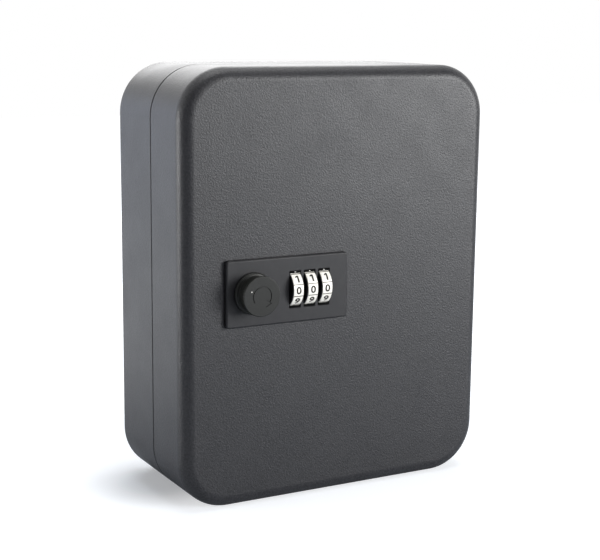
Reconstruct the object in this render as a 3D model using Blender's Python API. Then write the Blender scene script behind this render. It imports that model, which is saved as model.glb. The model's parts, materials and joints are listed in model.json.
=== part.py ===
"""Key cabinet: two drawn steel pans on a hinge pair, eight hook racks and a dial lock.

Metres, +Z up. The origin is the centre of the face that lies on the wall. X runs to the right
as seen from the front, Y runs into the wall, and Z runs up. The door faces -Y.
"""
import math

import bmesh
import bpy
from mathutils import Matrix, Vector

# Cabinet
CABINET_WIDTH = 0.200
CABINET_HEIGHT = 0.250
CABINET_DEPTH = 0.090
BODY_DEPTH = 0.0476
SEAM_GAP = 0.0008
SHEET = 0.0012
CORNER_RADIUS = 0.0295
FRONT_FILLET = 0.0080
BACK_FILLET = 0.0030
RIM_FLANGE = 0.0080
CORNER_STEPS = 14
FILLET_STEPS = 6

# Clearances, weld distance and overrun of cutting tools
SEAT_GAP = 0.0003
RUNNING_GAP = 0.0001
CUT_OVERRUN = 0.0010
WELD_DISTANCE = 0.000001

# Holes for wall screws, and how far in they lie from the sides and from the top and bottom
WALL_HOLE_RADIUS = 0.0030
WALL_HOLE_SIDE = 0.030
WALL_HOLE_END = 0.015

# Hinges
HINGE_HEIGHT = 0.036
HINGE_END = 0.050
KNUCKLE_RADIUS = 0.0026
KNUCKLE_COUNT = 3
LEAF_THICKNESS = 0.0008
LEAF_LENGTH = 0.022
HINGE_STANDOFF = 0.0003
PIN_RADIUS = 0.0014
PIN_HEAD_RADIUS = 0.0022
PIN_HEAD_HEIGHT = 0.0009
NOTCH_END_GAP = 0.0020
HINGE_STEPS = 20

# Hook racks, with the room left at their ends, above the top row and below the bottom row
BODY_HOOKS = 7
DOOR_HOOKS = 5
RACK_ROWS = 4
RACK_END_MARGIN = 0.0075
BODY_RACK_SIDE = 0.0178
BODY_RACK_TOP = 0.032
BODY_RACK_BOTTOM = 0.059
DOOR_RACK_SIDE = 0.0077
DOOR_RACK_LOCK_GAP = 0.0100
DOOR_RACK_END = 0.047
RACK_HEIGHT = 0.014
RACK_THICKNESS = 0.0010
HOOK_WIDTH = 0.0030
HOOK_THICKNESS = 0.0012
HOOK_REACH = 0.0100
HOOK_TIP = 0.0055
HOOK_DROP = 0.0010
LABEL_THICKNESS = 0.0003
LABEL_HEIGHT = 0.0052
LABEL_EDGE = 0.0008
LABEL_END_GAP = 0.0020

# Lock plate: its place from the cabinet's left side, and what lies where along it
LOCK_SIDE = 0.0255
KNOB_MARGIN = 0.0166
KNOB_TO_WHEEL = 0.0267
WHEEL_MARGIN = 0.0159
PLATE_PROUD = 0.0030
PLATE_CORNER = 0.0020
PLATE_BEVEL = 0.0006
PLATE_STEPS = 4

# Cut-out in the door, drawn in from the plate, and the plate's screw posts inside it
CUTOUT_MARGIN_X = 0.0066
CUTOUT_MARGIN_Z = 0.0042
CUTOUT_CORNER = 0.0020
POST_RADIUS = 0.0022
POST_EDGE = 0.0008
POST_STEPS = 16

# Lock case, which laps over the door round the cut-out
CASE_LAP = 0.0030
CASE_BACK_GAP = 0.0040
CASE_WALL = 0.0015
CASE_CORNER = 0.0030
CASE_INNER_CORNER = 0.0015
BAR_SLOT_GAP = 0.0003
COVER_THICKNESS = 0.0015
COVER_BOSS_RADIUS = 0.0050
SCREW_RADIUS = 0.0011
SCREW_HEAD_RADIUS = 0.0021
SCREW_HEAD_HEIGHT = 0.0012
SCREW_LENGTH = 0.0075
SCREW_SLOT_WIDTH = 0.0006
SCREW_SLOT_DEPTH = 0.0005

# Number wheels
WHEEL_COUNT = 3
DIGITS = 10
WHEEL_AXIS_DEPTH = 0.0062
WHEEL_RADIUS = 0.0108
BAND_THICKNESS = 0.0005
BAND_WIDTH = 0.00615
CORE_LIP = 0.000225
CORE_EDGE = 0.0003
WINDOW_SIDE_GAP = 0.0003
WINDOW_END_GAP = 0.0004
WINDOW_CORNER = 0.0005
AXLE_RADIUS = 0.0012
WHEEL_STEPS = 50
AXLE_STEPS = 20
DISC_WIDTH = 0.0018
DISC_SIDE_GAP = 0.000475
DETENT_DEPTH = 0.0003
GATE_DEPTH = 0.0009
GATE_WIDTH = 0.0018

# Detent spring
SPRING_THICKNESS = 0.0004
SPRING_BASE_HEIGHT = 0.0030
SPRING_FINGER_WIDTH = 0.0012
SPRING_TIP_HEIGHT = 0.0010
SPRING_FLOOR_GAP = 0.0005

# Bar that keeps the knob from turning, and the lobe that lifts it
BAR_HEIGHT = 0.0015
BAR_THICKNESS = 0.0030
BAR_ABOVE_WHEELS = 0.0018
BAR_END = 0.0008
BAR_TOOTH_WIDTH = 0.0012
BAR_TOOTH_DEPTH = 0.0014
BAR_LIFT = 0.0020
BAR_HEADROOM = 0.0004
FOLLOWER_WIDTH = 0.0040
LOBE_BASE_RADIUS = 0.0042
LOBE_NOSE_RADIUS = 0.0025

# Code-change slider
SLIDER_TRAVEL = 0.0030
SLIDER_WIDTH = 0.0040
SLIDER_NECK = 0.0026
SLIDER_SHOE = 0.0060
SLIDER_SHOE_THICKNESS = 0.0012
SLIDER_THUMB = 0.0048
SLIDER_THUMB_THICKNESS = 0.0016
SLIDER_TOP_GAP = 0.0090

# Knob, its spindle and the latch cam
KNOB_BASE_RADIUS = 0.0120
KNOB_WAIST_RADIUS = 0.0102
KNOB_FACE_RADIUS = 0.0114
KNOB_PROUD = 0.0110
KNOB_BASE_HEIGHT = 0.0020
KNOB_BASE_ROUND = 0.0009
KNOB_FACE_THICKNESS = 0.0018
KNOB_FACE_ROUND = 0.0005
KNOB_BORE_DEPTH = 0.0040
KNOB_STEPS = 48
SPINDLE_RADIUS = 0.0030
SPINDLE_CHAMFER = 0.0004
SPINDLE_STEPS = 24
CAM_HUB_RADIUS = 0.0070
CAM_TIP_RADIUS = 0.0050
CAM_THICKNESS = 0.0015
WASHER_RADIUS = 0.0055
WASHER_THICKNESS = 0.0008
NUT_RADIUS = 0.0046
NUT_SIDES = 6
NUT_THICKNESS = 0.0028
THREAD_END = 0.0006
LINK_STEPS = 12

# Strike bracket on the body's rim flange
STRIKE_HEIGHT = 0.024
STRIKE_BASE = 0.0066
STRIKE_EDGE_GAP = 0.0004
STRIKE_LIP = 0.0070
STRIKE_TIP_GAP = 0.0007

# Finishes: linear colour, roughness, metallic
FINISHES = {
    "powder_coated_steel": ((0.105, 0.105, 0.118), 0.55, 0.0),
    "zinc_plated_steel": ((0.55, 0.56, 0.58), 0.35, 0.9),
    "black_plastic": ((0.050, 0.050, 0.056), 0.45, 0.0),
    "black_wheel_plastic": ((0.012, 0.012, 0.013), 0.35, 0.0),
    "brushed_aluminium": ((0.72, 0.70, 0.66), 0.30, 0.9),
    "steel": ((0.45, 0.45, 0.46), 0.30, 1.0),
    "spring_steel": ((0.30, 0.30, 0.32), 0.25, 1.0),
    "white_card": ((0.80, 0.80, 0.78), 0.80, 0.0),
    "red_plastic": ((0.45, 0.03, 0.02), 0.45, 0.0),
}

# Planes from the wall forward
SEAM_Y = -(BODY_DEPTH + SEAM_GAP / 2)
BODY_RIM_Y = -BODY_DEPTH
DOOR_RIM_Y = BODY_RIM_Y - SEAM_GAP
DOOR_FACE_Y = -CABINET_DEPTH
DOOR_INSIDE_Y = DOOR_FACE_Y + SHEET
PLATE_FACE_Y = DOOR_FACE_Y - PLATE_PROUD
PLATE_BACK_Y = DOOR_FACE_Y - SEAT_GAP
KNOB_BACK_Y = PLATE_FACE_Y - SEAT_GAP
KNOB_FACE_Y = PLATE_FACE_Y - KNOB_PROUD
WHEEL_AXIS_Y = PLATE_FACE_Y + WHEEL_AXIS_DEPTH
CASE_FRONT_Y = DOOR_INSIDE_Y + SEAT_GAP
CASE_BACK_Y = WHEEL_AXIS_Y + WHEEL_RADIUS + CASE_BACK_GAP
COVER_FRONT_Y = CASE_BACK_Y + SEAT_GAP
COVER_BACK_Y = COVER_FRONT_Y + COVER_THICKNESS
SCREW_BACK_Y = COVER_BACK_Y + SEAT_GAP + SCREW_HEAD_HEIGHT
CAM_FRONT_Y = SCREW_BACK_Y + SEAT_GAP
CAM_BACK_Y = CAM_FRONT_Y + CAM_THICKNESS
WASHER_FRONT_Y = CAM_BACK_Y + SEAT_GAP
WASHER_BACK_Y = WASHER_FRONT_Y + WASHER_THICKNESS
NUT_FRONT_Y = WASHER_BACK_Y + SEAT_GAP
NUT_BACK_Y = NUT_FRONT_Y + NUT_THICKNESS
SPINDLE_BACK_Y = NUT_BACK_Y + THREAD_END
STRIKE_LIP_BACK_Y = CAM_FRONT_Y - SEAT_GAP

# Wheels, windows and bores
CORE_WIDTH = BAND_WIDTH + 2 * CORE_LIP
CORE_RADIUS = WHEEL_RADIUS - BAND_THICKNESS - RUNNING_GAP
WHEEL_PITCH = CORE_WIDTH + DISC_WIDTH + 2 * DISC_SIDE_GAP
DISC_RADIUS = WHEEL_AXIS_Y - PLATE_BACK_Y - SEAT_GAP
DISC_OFFSET = -WHEEL_PITCH / 2
WINDOW_WIDTH = CORE_WIDTH + 2 * WINDOW_SIDE_GAP
WHEEL_HALF_CHORD = math.sqrt(WHEEL_RADIUS ** 2 - (WHEEL_AXIS_Y - PLATE_BACK_Y) ** 2)
WINDOW_HEIGHT = 2 * (WHEEL_HALF_CHORD + WINDOW_END_GAP)
AXLE_BORE = AXLE_RADIUS + RUNNING_GAP
SPINDLE_BORE = SPINDLE_RADIUS + RUNNING_GAP

# Lock bar and the height of the case that holds it
BAR_BOTTOM = WHEEL_RADIUS + BAR_ABOVE_WHEELS
LOBE_NOSE_OFFSET = LOBE_BASE_RADIUS + BAR_LIFT - LOBE_NOSE_RADIUS - SEAT_GAP
CASE_INSIDE_TOP = BAR_BOTTOM + BAR_HEIGHT + BAR_LIFT + BAR_HEADROOM
CASE_HEIGHT = 2 * (CASE_INSIDE_TOP + CASE_WALL)
CUTOUT_HEIGHT = CASE_HEIGHT - 2 * CASE_LAP
PLATE_HEIGHT = CUTOUT_HEIGHT + 2 * CUTOUT_MARGIN_Z

# Places along the plate
PLATE_LEFT_X = -CABINET_WIDTH / 2 + LOCK_SIDE
KNOB_X = PLATE_LEFT_X + KNOB_MARGIN
FIRST_WHEEL_X = KNOB_X + KNOB_TO_WHEEL
PLATE_WIDTH = KNOB_MARGIN + KNOB_TO_WHEEL + (WHEEL_COUNT - 1) * WHEEL_PITCH + WHEEL_MARGIN
PLATE_CENTRE_X = PLATE_LEFT_X + PLATE_WIDTH / 2
CUTOUT_WIDTH = PLATE_WIDTH - 2 * CUTOUT_MARGIN_X
CASE_WIDTH = CUTOUT_WIDTH + 2 * CASE_LAP
POST_SPACING_X = CUTOUT_WIDTH - 2 * (POST_RADIUS + POST_EDGE)
POST_SPACING_Z = CUTOUT_HEIGHT - 2 * (POST_RADIUS + POST_EDGE)
SLIDER_X = FIRST_WHEEL_X
SLIDER_Z = CASE_INSIDE_TOP - SLIDER_TOP_GAP

# Racks, hinges and wall holes across the cabinet
INSIDE_HALF_WIDTH = CABINET_WIDTH / 2 - SHEET
BODY_RACK_WIDTH = 2 * (INSIDE_HALF_WIDTH - BODY_RACK_SIDE)
DOOR_RACK_LEFT_X = PLATE_CENTRE_X + CASE_WIDTH / 2 + DOOR_RACK_LOCK_GAP
DOOR_RACK_RIGHT_X = INSIDE_HALF_WIDTH - DOOR_RACK_SIDE
DOOR_RACK_WIDTH = DOOR_RACK_RIGHT_X - DOOR_RACK_LEFT_X
DOOR_RACK_X = (DOOR_RACK_LEFT_X + DOOR_RACK_RIGHT_X) / 2
BODY_TOP_ROW = CABINET_HEIGHT / 2 - BODY_RACK_TOP
BODY_ROW_PITCH = (CABINET_HEIGHT - BODY_RACK_TOP - BODY_RACK_BOTTOM) / (RACK_ROWS - 1)
DOOR_TOP_ROW = CABINET_HEIGHT / 2 - DOOR_RACK_END
DOOR_ROW_PITCH = 2 * DOOR_TOP_ROW / (RACK_ROWS - 1)
HINGE_X = CABINET_WIDTH / 2 + HINGE_STANDOFF
HINGE_OFFSET_Z = CABINET_HEIGHT / 2 - HINGE_END
WALL_HOLE_X = CABINET_WIDTH / 2 - WALL_HOLE_SIDE
WALL_HOLE_Z = CABINET_HEIGHT / 2 - WALL_HOLE_END

# Strike and the cam that turns behind it
STRIKE_WEB_X = -(INSIDE_HALF_WIDTH - RIM_FLANGE + STRIKE_EDGE_GAP)
CAM_REACH = KNOB_X - STRIKE_WEB_X - STRIKE_TIP_GAP - CAM_TIP_RADIUS


def clear_scene():
    """Removes every object of the opened scene."""
    for item in list(bpy.data.objects):
        bpy.data.objects.remove(item, do_unlink=True)


def make_finish(name):
    """Makes a Principled material from its row in FINISHES."""
    colour, roughness, metallic = FINISHES[name]
    finish = bpy.data.materials.new(name)
    finish.use_nodes = True
    shader = finish.node_tree.nodes["Principled BSDF"]
    shader.inputs["Base Color"].default_value = (*colour, 1.0)
    shader.inputs["Roughness"].default_value = roughness
    shader.inputs["Metallic"].default_value = metallic
    return finish


def place(name, mesh_builder, finish, location=(0, 0, 0), turn=None, parent=None):
    """Turns a bmesh into a named object at a location, with its own material."""
    bmesh.ops.recalc_face_normals(mesh_builder, faces=mesh_builder.faces)
    if mesh_builder.calc_volume(signed=True) < 0:
        bmesh.ops.reverse_faces(mesh_builder, faces=mesh_builder.faces)
    mesh = bpy.data.meshes.new(name)
    mesh_builder.to_mesh(mesh)
    mesh_builder.free()
    mesh.shade_smooth()
    mesh.set_sharp_from_angle(angle=math.radians(30))
    item = bpy.data.objects.new(name, mesh)
    bpy.context.collection.objects.link(item)
    item.location = location
    if turn is not None:
        item.rotation_euler = turn
    if finish is not None:
        item.data.materials.append(make_finish(finish))
    if parent is not None:
        attach(item, parent)
    return item


def attach(item, parent):
    """Parents an item to an empty without moving it."""
    bpy.context.view_layer.update()
    item.parent = parent
    item.matrix_parent_inverse = parent.matrix_world.inverted()


def make_axis(name, location, parent=None):
    """Adds an empty on a joint's axis."""
    empty = bpy.data.objects.new(name, None)
    bpy.context.collection.objects.link(empty)
    empty.location = location
    if parent is not None:
        attach(empty, parent)
    return empty


def apply_boolean(item, tool, operation):
    """Adds an exact Boolean with a tool object that stays hidden."""
    tool.hide_render = True
    tool.display_type = "WIRE"
    modifier = item.modifiers.new(tool.name, "BOOLEAN")
    modifier.operation = operation
    modifier.object = tool
    modifier.solver = "EXACT"


def cut(item, name, mesh_builder, location=(0, 0, 0)):
    """Cuts a shape out of an item."""
    apply_boolean(item, place(name, mesh_builder, None, location), "DIFFERENCE")


def fuse(item, name, mesh_builder, location=(0, 0, 0)):
    """Joins a shape to an item as one body."""
    apply_boolean(item, place(name, mesh_builder, None, location), "UNION")


def arc(centre, radius, start, end, steps):
    """Points on an arc, angles in radians."""
    points = []
    for step in range(steps + 1):
        angle = start + (end - start) * step / steps
        points.append((centre[0] + radius * math.cos(angle), centre[1] + radius * math.sin(angle)))
    return points


def rounded_rectangle(width, height, radius, steps):
    """Outline of a rounded rectangle about its centre."""
    points = []
    quarter = math.pi / 2
    signs = ((1, 1), (-1, 1), (-1, -1), (1, -1))
    for corner, (side_x, side_z) in enumerate(signs):
        centre = (side_x * (width / 2 - radius), side_z * (height / 2 - radius))
        points += arc(centre, radius, corner * quarter, (corner + 1) * quarter, steps)
    return points


def rectangle(low_a, high_a, low_b, high_b):
    """Outline of a plain rectangle."""
    return [(low_a, low_b), (high_a, low_b), (high_a, high_b), (low_a, high_b)]


def link_outline(hub_radius, tip_radius, reach, steps):
    """Outline round two circles, the hub at the centre and the tip straight below it."""
    lean = math.asin((hub_radius - tip_radius) / reach)
    hub = arc((0, 0), hub_radius, -lean, math.pi + lean, steps)
    tip = arc((0, -reach), tip_radius, math.pi + lean, 2 * math.pi - lean, steps)
    return hub + tip


def prism(outline, low, high, axis="Y"):
    """Extrudes an outline along an axis. The outline's two numbers follow the other axes in order."""
    builder = bmesh.new()
    to_point = {
        "X": lambda a, b: (low, a, b),
        "Y": lambda a, b: (a, low, b),
        "Z": lambda a, b: (a, b, low),
    }[axis]
    corners = [builder.verts.new(to_point(a, b)) for a, b in outline]
    face = builder.faces.new(corners)
    grown = bmesh.ops.extrude_face_region(builder, geom=[face])
    moved = [item for item in grown["geom"] if isinstance(item, bmesh.types.BMVert)]
    step = Vector([high - low if name == axis else 0 for name in "XYZ"])
    bmesh.ops.translate(builder, verts=moved, vec=step)
    return builder


def disc(radius, low, high, steps, axis="Y"):
    """A plain cylinder along an axis."""
    outline = arc((0, 0), radius, 0, 2 * math.pi, steps)[:-1]
    return prism(outline, low, high, axis)


def lofted(rings):
    """Skins rounded rectangles along Y: each ring is width, height, corner radius, y and steps."""
    builder = bmesh.new()
    loops = []
    for width, height, radius, y, steps in rings:
        outline = rounded_rectangle(width, height, radius, steps)
        loops.append([builder.verts.new((x, y, z)) for x, z in outline])
    builder.faces.new(loops[0])
    builder.faces.new(loops[-1])
    for first, second in zip(loops, loops[1:]):
        for side in range(len(first)):
            builder.faces.new((first[side - 1], first[side], second[side], second[side - 1]))
    return builder


def turned(profile, steps, axis="Y"):
    """Spins a profile of radius and place along the axis. A closed profile gives a ring."""
    builder = bmesh.new()
    to_point = {
        "X": lambda r, along: (along, 0, r),
        "Y": lambda r, along: (r, along, 0),
        "Z": lambda r, along: (r, 0, along),
    }[axis]
    points = [builder.verts.new(to_point(r, along)) for r, along in profile]
    closed = profile[0][0] > 0
    ends = points[1:] + (points[:1] if closed else [])
    edges = [builder.edges.new(pair) for pair in zip(points, ends)]
    direction = Vector([1 if name == axis else 0 for name in "XYZ"])
    bmesh.ops.spin(
        builder, geom=points + edges, cent=(0, 0, 0), axis=direction,
        angle=2 * math.pi, steps=steps, use_merge=True,
    )
    bmesh.ops.remove_doubles(builder, verts=builder.verts, dist=WELD_DISTANCE)
    return builder


def ring_profile(inner, outer, low, high, edge=0):
    """Section of a plain ring, with its outer edges chamfered when an edge size is given."""
    if edge > 0:
        return [
            (inner, low), (outer - edge, low), (outer, low + edge),
            (outer, high - edge), (outer - edge, high), (inner, high),
        ]
    return [(inner, low), (outer, low), (outer, high), (inner, high)]


def comb(low_x, high_x, back, front, low, high, arms, tip_reach, tip_thickness):
    """A bar along X from back to front in Y and low to high in Z, with arms out of its front face.

    Each arm is its centre, width, lower edge, upper edge and length. Where tip_reach is given,
    the arm's last tip_thickness is turned up by it.
    """
    builder = bmesh.new()
    columns = [low_x]
    for centre, width, _, _, _ in arms:
        columns += [centre - width / 2, centre + width / 2]
    columns.append(high_x)
    _, _, arm_low, arm_high, _ = arms[0]
    rows = sorted({low, arm_low, arm_high, high})
    grid = [[builder.verts.new((x, front, z)) for z in rows] for x in columns]
    rear = [[builder.verts.new((x, back, z)) for z in rows] for x in columns]
    root_row = rows.index(arm_low)
    roots = []
    for layer in (grid, rear):
        for column in range(len(columns) - 1):
            for row in range(len(rows) - 1):
                face = builder.faces.new((
                    layer[column][row], layer[column + 1][row],
                    layer[column + 1][row + 1], layer[column][row + 1],
                ))
                if layer is grid and column % 2 == 1 and row == root_row:
                    roots.append(face)
    for column in range(len(columns) - 1):
        for row in (0, len(rows) - 1):
            builder.faces.new((
                grid[column][row], grid[column + 1][row],
                rear[column + 1][row], rear[column][row],
            ))
    for row in range(len(rows) - 1):
        for column in (0, len(columns) - 1):
            builder.faces.new((
                grid[column][row], grid[column][row + 1],
                rear[column][row + 1], rear[column][row],
            ))
    bmesh.ops.recalc_face_normals(builder, faces=builder.faces)
    outward = Vector((0, math.copysign(1, front - back), 0))
    for root, (_, _, _, _, length) in zip(roots, arms):
        end = extrude(builder, root, outward * (length - tip_thickness))
        if tip_reach == 0:
            extrude(builder, end, outward * tip_thickness)
            continue
        sides = set(builder.faces)
        extrude(builder, end, outward * tip_thickness)
        grown = [face for face in builder.faces if face not in sides]
        top = max(grown, key=lambda face: face.calc_center_median().z)
        extrude(builder, top, Vector((0, 0, tip_reach)))
    return builder


def extrude(builder, face, step):
    """Extrudes one face by a step and returns the moved face."""
    grown = bmesh.ops.extrude_discrete_faces(builder, faces=[face])["faces"][0]
    bmesh.ops.translate(builder, verts=grown.verts, vec=step)
    return grown


def pan(face_y, rim_y, fillet, flange):
    """A drawn steel pan: a flat face, a filleted edge, straight walls and an optional rim flange."""
    inward = math.copysign(1, rim_y - face_y)
    rings = []
    for step in range(FILLET_STEPS + 1):
        rings.append(fillet_ring(step, fillet, 0, face_y, inward))
    rings.append(inset_ring(0, rim_y))
    if flange > 0:
        rings.append(inset_ring(SHEET + flange, rim_y))
        rings.append(inset_ring(SHEET + flange, rim_y - inward * SHEET))
        rings.append(inset_ring(SHEET, rim_y - inward * SHEET))
    else:
        rings.append(inset_ring(SHEET, rim_y))
    inner_fillet = fillet - SHEET
    for step in reversed(range(FILLET_STEPS + 1)):
        rings.append(fillet_ring(step, inner_fillet, SHEET, face_y + inward * SHEET, inward))
    return lofted(rings)


def inset_ring(inset, y):
    """The cabinet's outline drawn in by an inset."""
    return (
        CABINET_WIDTH - 2 * inset, CABINET_HEIGHT - 2 * inset,
        CORNER_RADIUS - inset, y, CORNER_STEPS,
    )


def fillet_ring(step, fillet, inset, face_y, inward):
    """One ring of a fillet between the flat face and the wall."""
    angle = math.pi / 2 * step / FILLET_STEPS
    along = fillet * (1 - math.cos(angle))
    return inset_ring(inset + fillet * (1 - math.sin(angle)), face_y + inward * along)


def hinge_heights():
    """Heights of the two hinges."""
    return (HINGE_OFFSET_Z, -HINGE_OFFSET_Z)


def cut_hinge_notches(item):
    """Opens a pan's rim round both hinges."""
    reach = KNUCKLE_RADIUS + SEAT_GAP
    half = HINGE_HEIGHT / 2 + NOTCH_END_GAP
    for index, height in enumerate(hinge_heights()):
        outline = rectangle(-reach, reach, -reach, reach)
        tool = prism(outline, -half, half, "Z")
        cut(item, f"{item.name}_notch_{index + 1}", tool, (HINGE_X, SEAM_Y, height))


def make_body_shell():
    """The back pan with its rim flange, wall-screw holes and hinge notches."""
    shell = place("body_shell", pan(0, BODY_RIM_Y, BACK_FILLET, RIM_FLANGE), "powder_coated_steel")
    for side_x in (-1, 1):
        for side_z in (-1, 1):
            tool = disc(WALL_HOLE_RADIUS, -SHEET - CUT_OVERRUN, CUT_OVERRUN, POST_STEPS)
            centre = (side_x * WALL_HOLE_X, 0, side_z * WALL_HOLE_Z)
            cut(shell, f"wall_hole_{side_x}_{side_z}", tool, centre)
    cut_hinge_notches(shell)
    return shell


def make_door_shell(parent):
    """The front pan with its lock cut-out and hinge notches."""
    builder = pan(DOOR_FACE_Y, DOOR_RIM_Y, FRONT_FILLET, 0)
    shell = place("door_shell", builder, "powder_coated_steel", parent=parent)
    outline = rounded_rectangle(CUTOUT_WIDTH, CUTOUT_HEIGHT, CUTOUT_CORNER, PLATE_STEPS)
    tool = prism(outline, DOOR_FACE_Y - CUT_OVERRUN, DOOR_INSIDE_Y + CUT_OVERRUN)
    cut(shell, "lock_cutout", tool, (PLATE_CENTRE_X, 0, 0))
    cut_hinge_notches(shell)
    return shell


def leaf_outline(side):
    """Section of a hinge leaf, a flat strip rolled round the pin: side 1 for the body, -1 for the door."""
    strip_inner = -(KNUCKLE_RADIUS - LEAF_THICKNESS)
    meet = math.atan2(math.sqrt(KNUCKLE_RADIUS ** 2 - strip_inner ** 2), strip_inner)
    round_part = arc((0, 0), KNUCKLE_RADIUS, meet, -math.pi, HINGE_STEPS)
    points = [(-KNUCKLE_RADIUS, LEAF_LENGTH), (strip_inner, LEAF_LENGTH)] + round_part
    return [(x, side * y) for x, y in points]


def make_hinge(index, height, door_axis):
    """A body leaf with the outer knuckles, a door leaf with the middle one, and their pin."""
    half = HINGE_HEIGHT / 2
    knuckle = HINGE_HEIGHT / KNUCKLE_COUNT / 2
    reach = KNUCKLE_RADIUS + SEAT_GAP
    centre = (HINGE_X, SEAM_Y, height)
    bore = PIN_RADIUS + RUNNING_GAP
    body_leaf = place(
        f"body_hinge_leaf_{index}", prism(leaf_outline(1), -half, half, "Z"), "steel", centre)
    door_leaf = place(
        f"door_hinge_leaf_{index}", prism(leaf_outline(-1), -half, half, "Z"), "steel", centre,
        parent=door_axis)
    square = rectangle(-reach, reach, -reach, reach)
    middle = knuckle + SEAT_GAP / 2
    cut(body_leaf, f"middle_gap_{index}", prism(square, -middle, middle, "Z"), centre)
    end = knuckle - SEAT_GAP / 2
    beyond = half + CUT_OVERRUN
    cut(door_leaf, f"upper_gap_{index}", prism(square, end, beyond, "Z"), centre)
    cut(door_leaf, f"lower_gap_{index}", prism(square, -beyond, -end, "Z"), centre)
    for leaf in (body_leaf, door_leaf):
        tool = disc(bore, -beyond, beyond, HINGE_STEPS, "Z")
        cut(leaf, f"{leaf.name}_bore", tool, centre)
    head = half + SEAT_GAP
    top = head + PIN_HEAD_HEIGHT
    profile = [
        (0, -half), (PIN_RADIUS, -half), (PIN_RADIUS, head), (PIN_HEAD_RADIUS, head),
        (PIN_HEAD_RADIUS, top - PIN_HEAD_HEIGHT / 2), (PIN_RADIUS, top), (0, top),
    ]
    place(f"hinge_pin_{index}", turned(profile, HINGE_STEPS, "Z"), "steel", centre)


def make_strike():
    """The bracket that the latch cam turns behind: base on the rim flange, web and inward lip."""
    back = BODY_RIM_Y - SEAT_GAP
    front = STRIKE_LIP_BACK_Y - SHEET
    outer = STRIKE_WEB_X - SHEET
    base = STRIKE_WEB_X - STRIKE_BASE
    tip = STRIKE_WEB_X + STRIKE_LIP
    outline = [
        (base, back), (STRIKE_WEB_X, back), (STRIKE_WEB_X, STRIKE_LIP_BACK_Y),
        (tip, STRIKE_LIP_BACK_Y), (tip, front), (outer, front),
        (outer, back - SHEET), (base, back - SHEET),
    ]
    half = STRIKE_HEIGHT / 2
    place("strike_bracket", prism(outline, -half, half, "Z"), "zinc_plated_steel")


def make_rack(name, label_name, count, width, location, turn, parent):
    """A pressed steel rack of hooks with turned-up tips, and the card label stuck on its face."""
    half = width / 2
    first = RACK_END_MARGIN - half
    pitch = -2 * first / (count - 1)
    low = -RACK_HEIGHT / 2
    arm_low = low + HOOK_DROP
    arms = []
    for index in range(count):
        centre = first + index * pitch
        arms.append((centre, HOOK_WIDTH, arm_low, arm_low + HOOK_THICKNESS, HOOK_REACH))
    builder = comb(
        -half, half, 0, -RACK_THICKNESS, low, RACK_HEIGHT / 2, arms, HOOK_TIP, HOOK_THICKNESS)
    place(name, builder, "zinc_plated_steel", location, turn, parent)
    face = -RACK_THICKNESS - SEAT_GAP
    top = RACK_HEIGHT / 2 - LABEL_EDGE
    edge = half - LABEL_END_GAP
    outline = rectangle(-edge, edge, top - LABEL_HEIGHT, top)
    label = prism(outline, face - LABEL_THICKNESS, face)
    place(label_name, label, "white_card", location, turn, parent)


def make_racks(door_axis):
    """Four racks on the body's back and four beside the lock on the door."""
    body_y = -SHEET - SEAT_GAP
    door_y = DOOR_INSIDE_Y + SEAT_GAP
    for row in range(RACK_ROWS):
        body_place = (0, body_y, BODY_TOP_ROW - row * BODY_ROW_PITCH)
        make_rack(
            f"body_hook_rack_{row + 1}", f"body_label_{row + 1}",
            BODY_HOOKS, BODY_RACK_WIDTH, body_place, None, None)
        door_place = (DOOR_RACK_X, door_y, DOOR_TOP_ROW - row * DOOR_ROW_PITCH)
        make_rack(
            f"door_hook_rack_{row + 1}", f"door_label_{row + 1}",
            DOOR_HOOKS, DOOR_RACK_WIDTH, door_place, (0, 0, math.pi), door_axis)


def wheel_centres():
    """Places of the number wheels along X, from left to right."""
    return [FIRST_WHEEL_X + index * WHEEL_PITCH for index in range(WHEEL_COUNT)]


def post_places():
    """Places of the four screw posts, in X and Z."""
    places = []
    for side_x in (-1, 1):
        for side_z in (-1, 1):
            x = PLATE_CENTRE_X + side_x * POST_SPACING_X / 2
            places.append((x, side_z * POST_SPACING_Z / 2))
    return places


def make_lock_plate(door_axis):
    """The moulded plate on the door's face, with wheel windows, spindle hole and screw posts."""
    inset = 2 * PLATE_BEVEL
    rings = [
        (PLATE_WIDTH, PLATE_HEIGHT, PLATE_CORNER, PLATE_BACK_Y, PLATE_STEPS),
        (PLATE_WIDTH, PLATE_HEIGHT, PLATE_CORNER, PLATE_FACE_Y + PLATE_BEVEL, PLATE_STEPS),
        (PLATE_WIDTH - inset, PLATE_HEIGHT - inset, PLATE_CORNER - PLATE_BEVEL,
         PLATE_FACE_Y, PLATE_STEPS),
    ]
    centre = (PLATE_CENTRE_X, 0, 0)
    plate = place("lock_plate", lofted(rings), "black_plastic", centre, parent=door_axis)
    middle = (PLATE_FACE_Y + PLATE_BACK_Y) / 2
    for index, (x, z) in enumerate(post_places()):
        post = disc(POST_RADIUS, middle, CASE_BACK_Y, POST_STEPS)
        fuse(plate, f"post_{index + 1}", post, (x, 0, z))
    pilot = SCREW_RADIUS + RUNNING_GAP
    deep = COVER_BACK_Y + SEAT_GAP - SCREW_LENGTH - CUT_OVERRUN
    for index, (x, z) in enumerate(post_places()):
        tool = disc(pilot, deep, CASE_BACK_Y + CUT_OVERRUN, POST_STEPS)
        cut(plate, f"pilot_{index + 1}", tool, (x, 0, z))
    window = rounded_rectangle(WINDOW_WIDTH, WINDOW_HEIGHT, WINDOW_CORNER, PLATE_STEPS)
    low = PLATE_FACE_Y - CUT_OVERRUN
    high = PLATE_BACK_Y + CUT_OVERRUN
    for index, x in enumerate(wheel_centres()):
        cut(plate, f"window_{index + 1}", prism(window, low, high), (x, 0, 0))
    cut(plate, "plate_bore", disc(SPINDLE_BORE, low, high, SPINDLE_STEPS), (KNOB_X, 0, 0))


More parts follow.
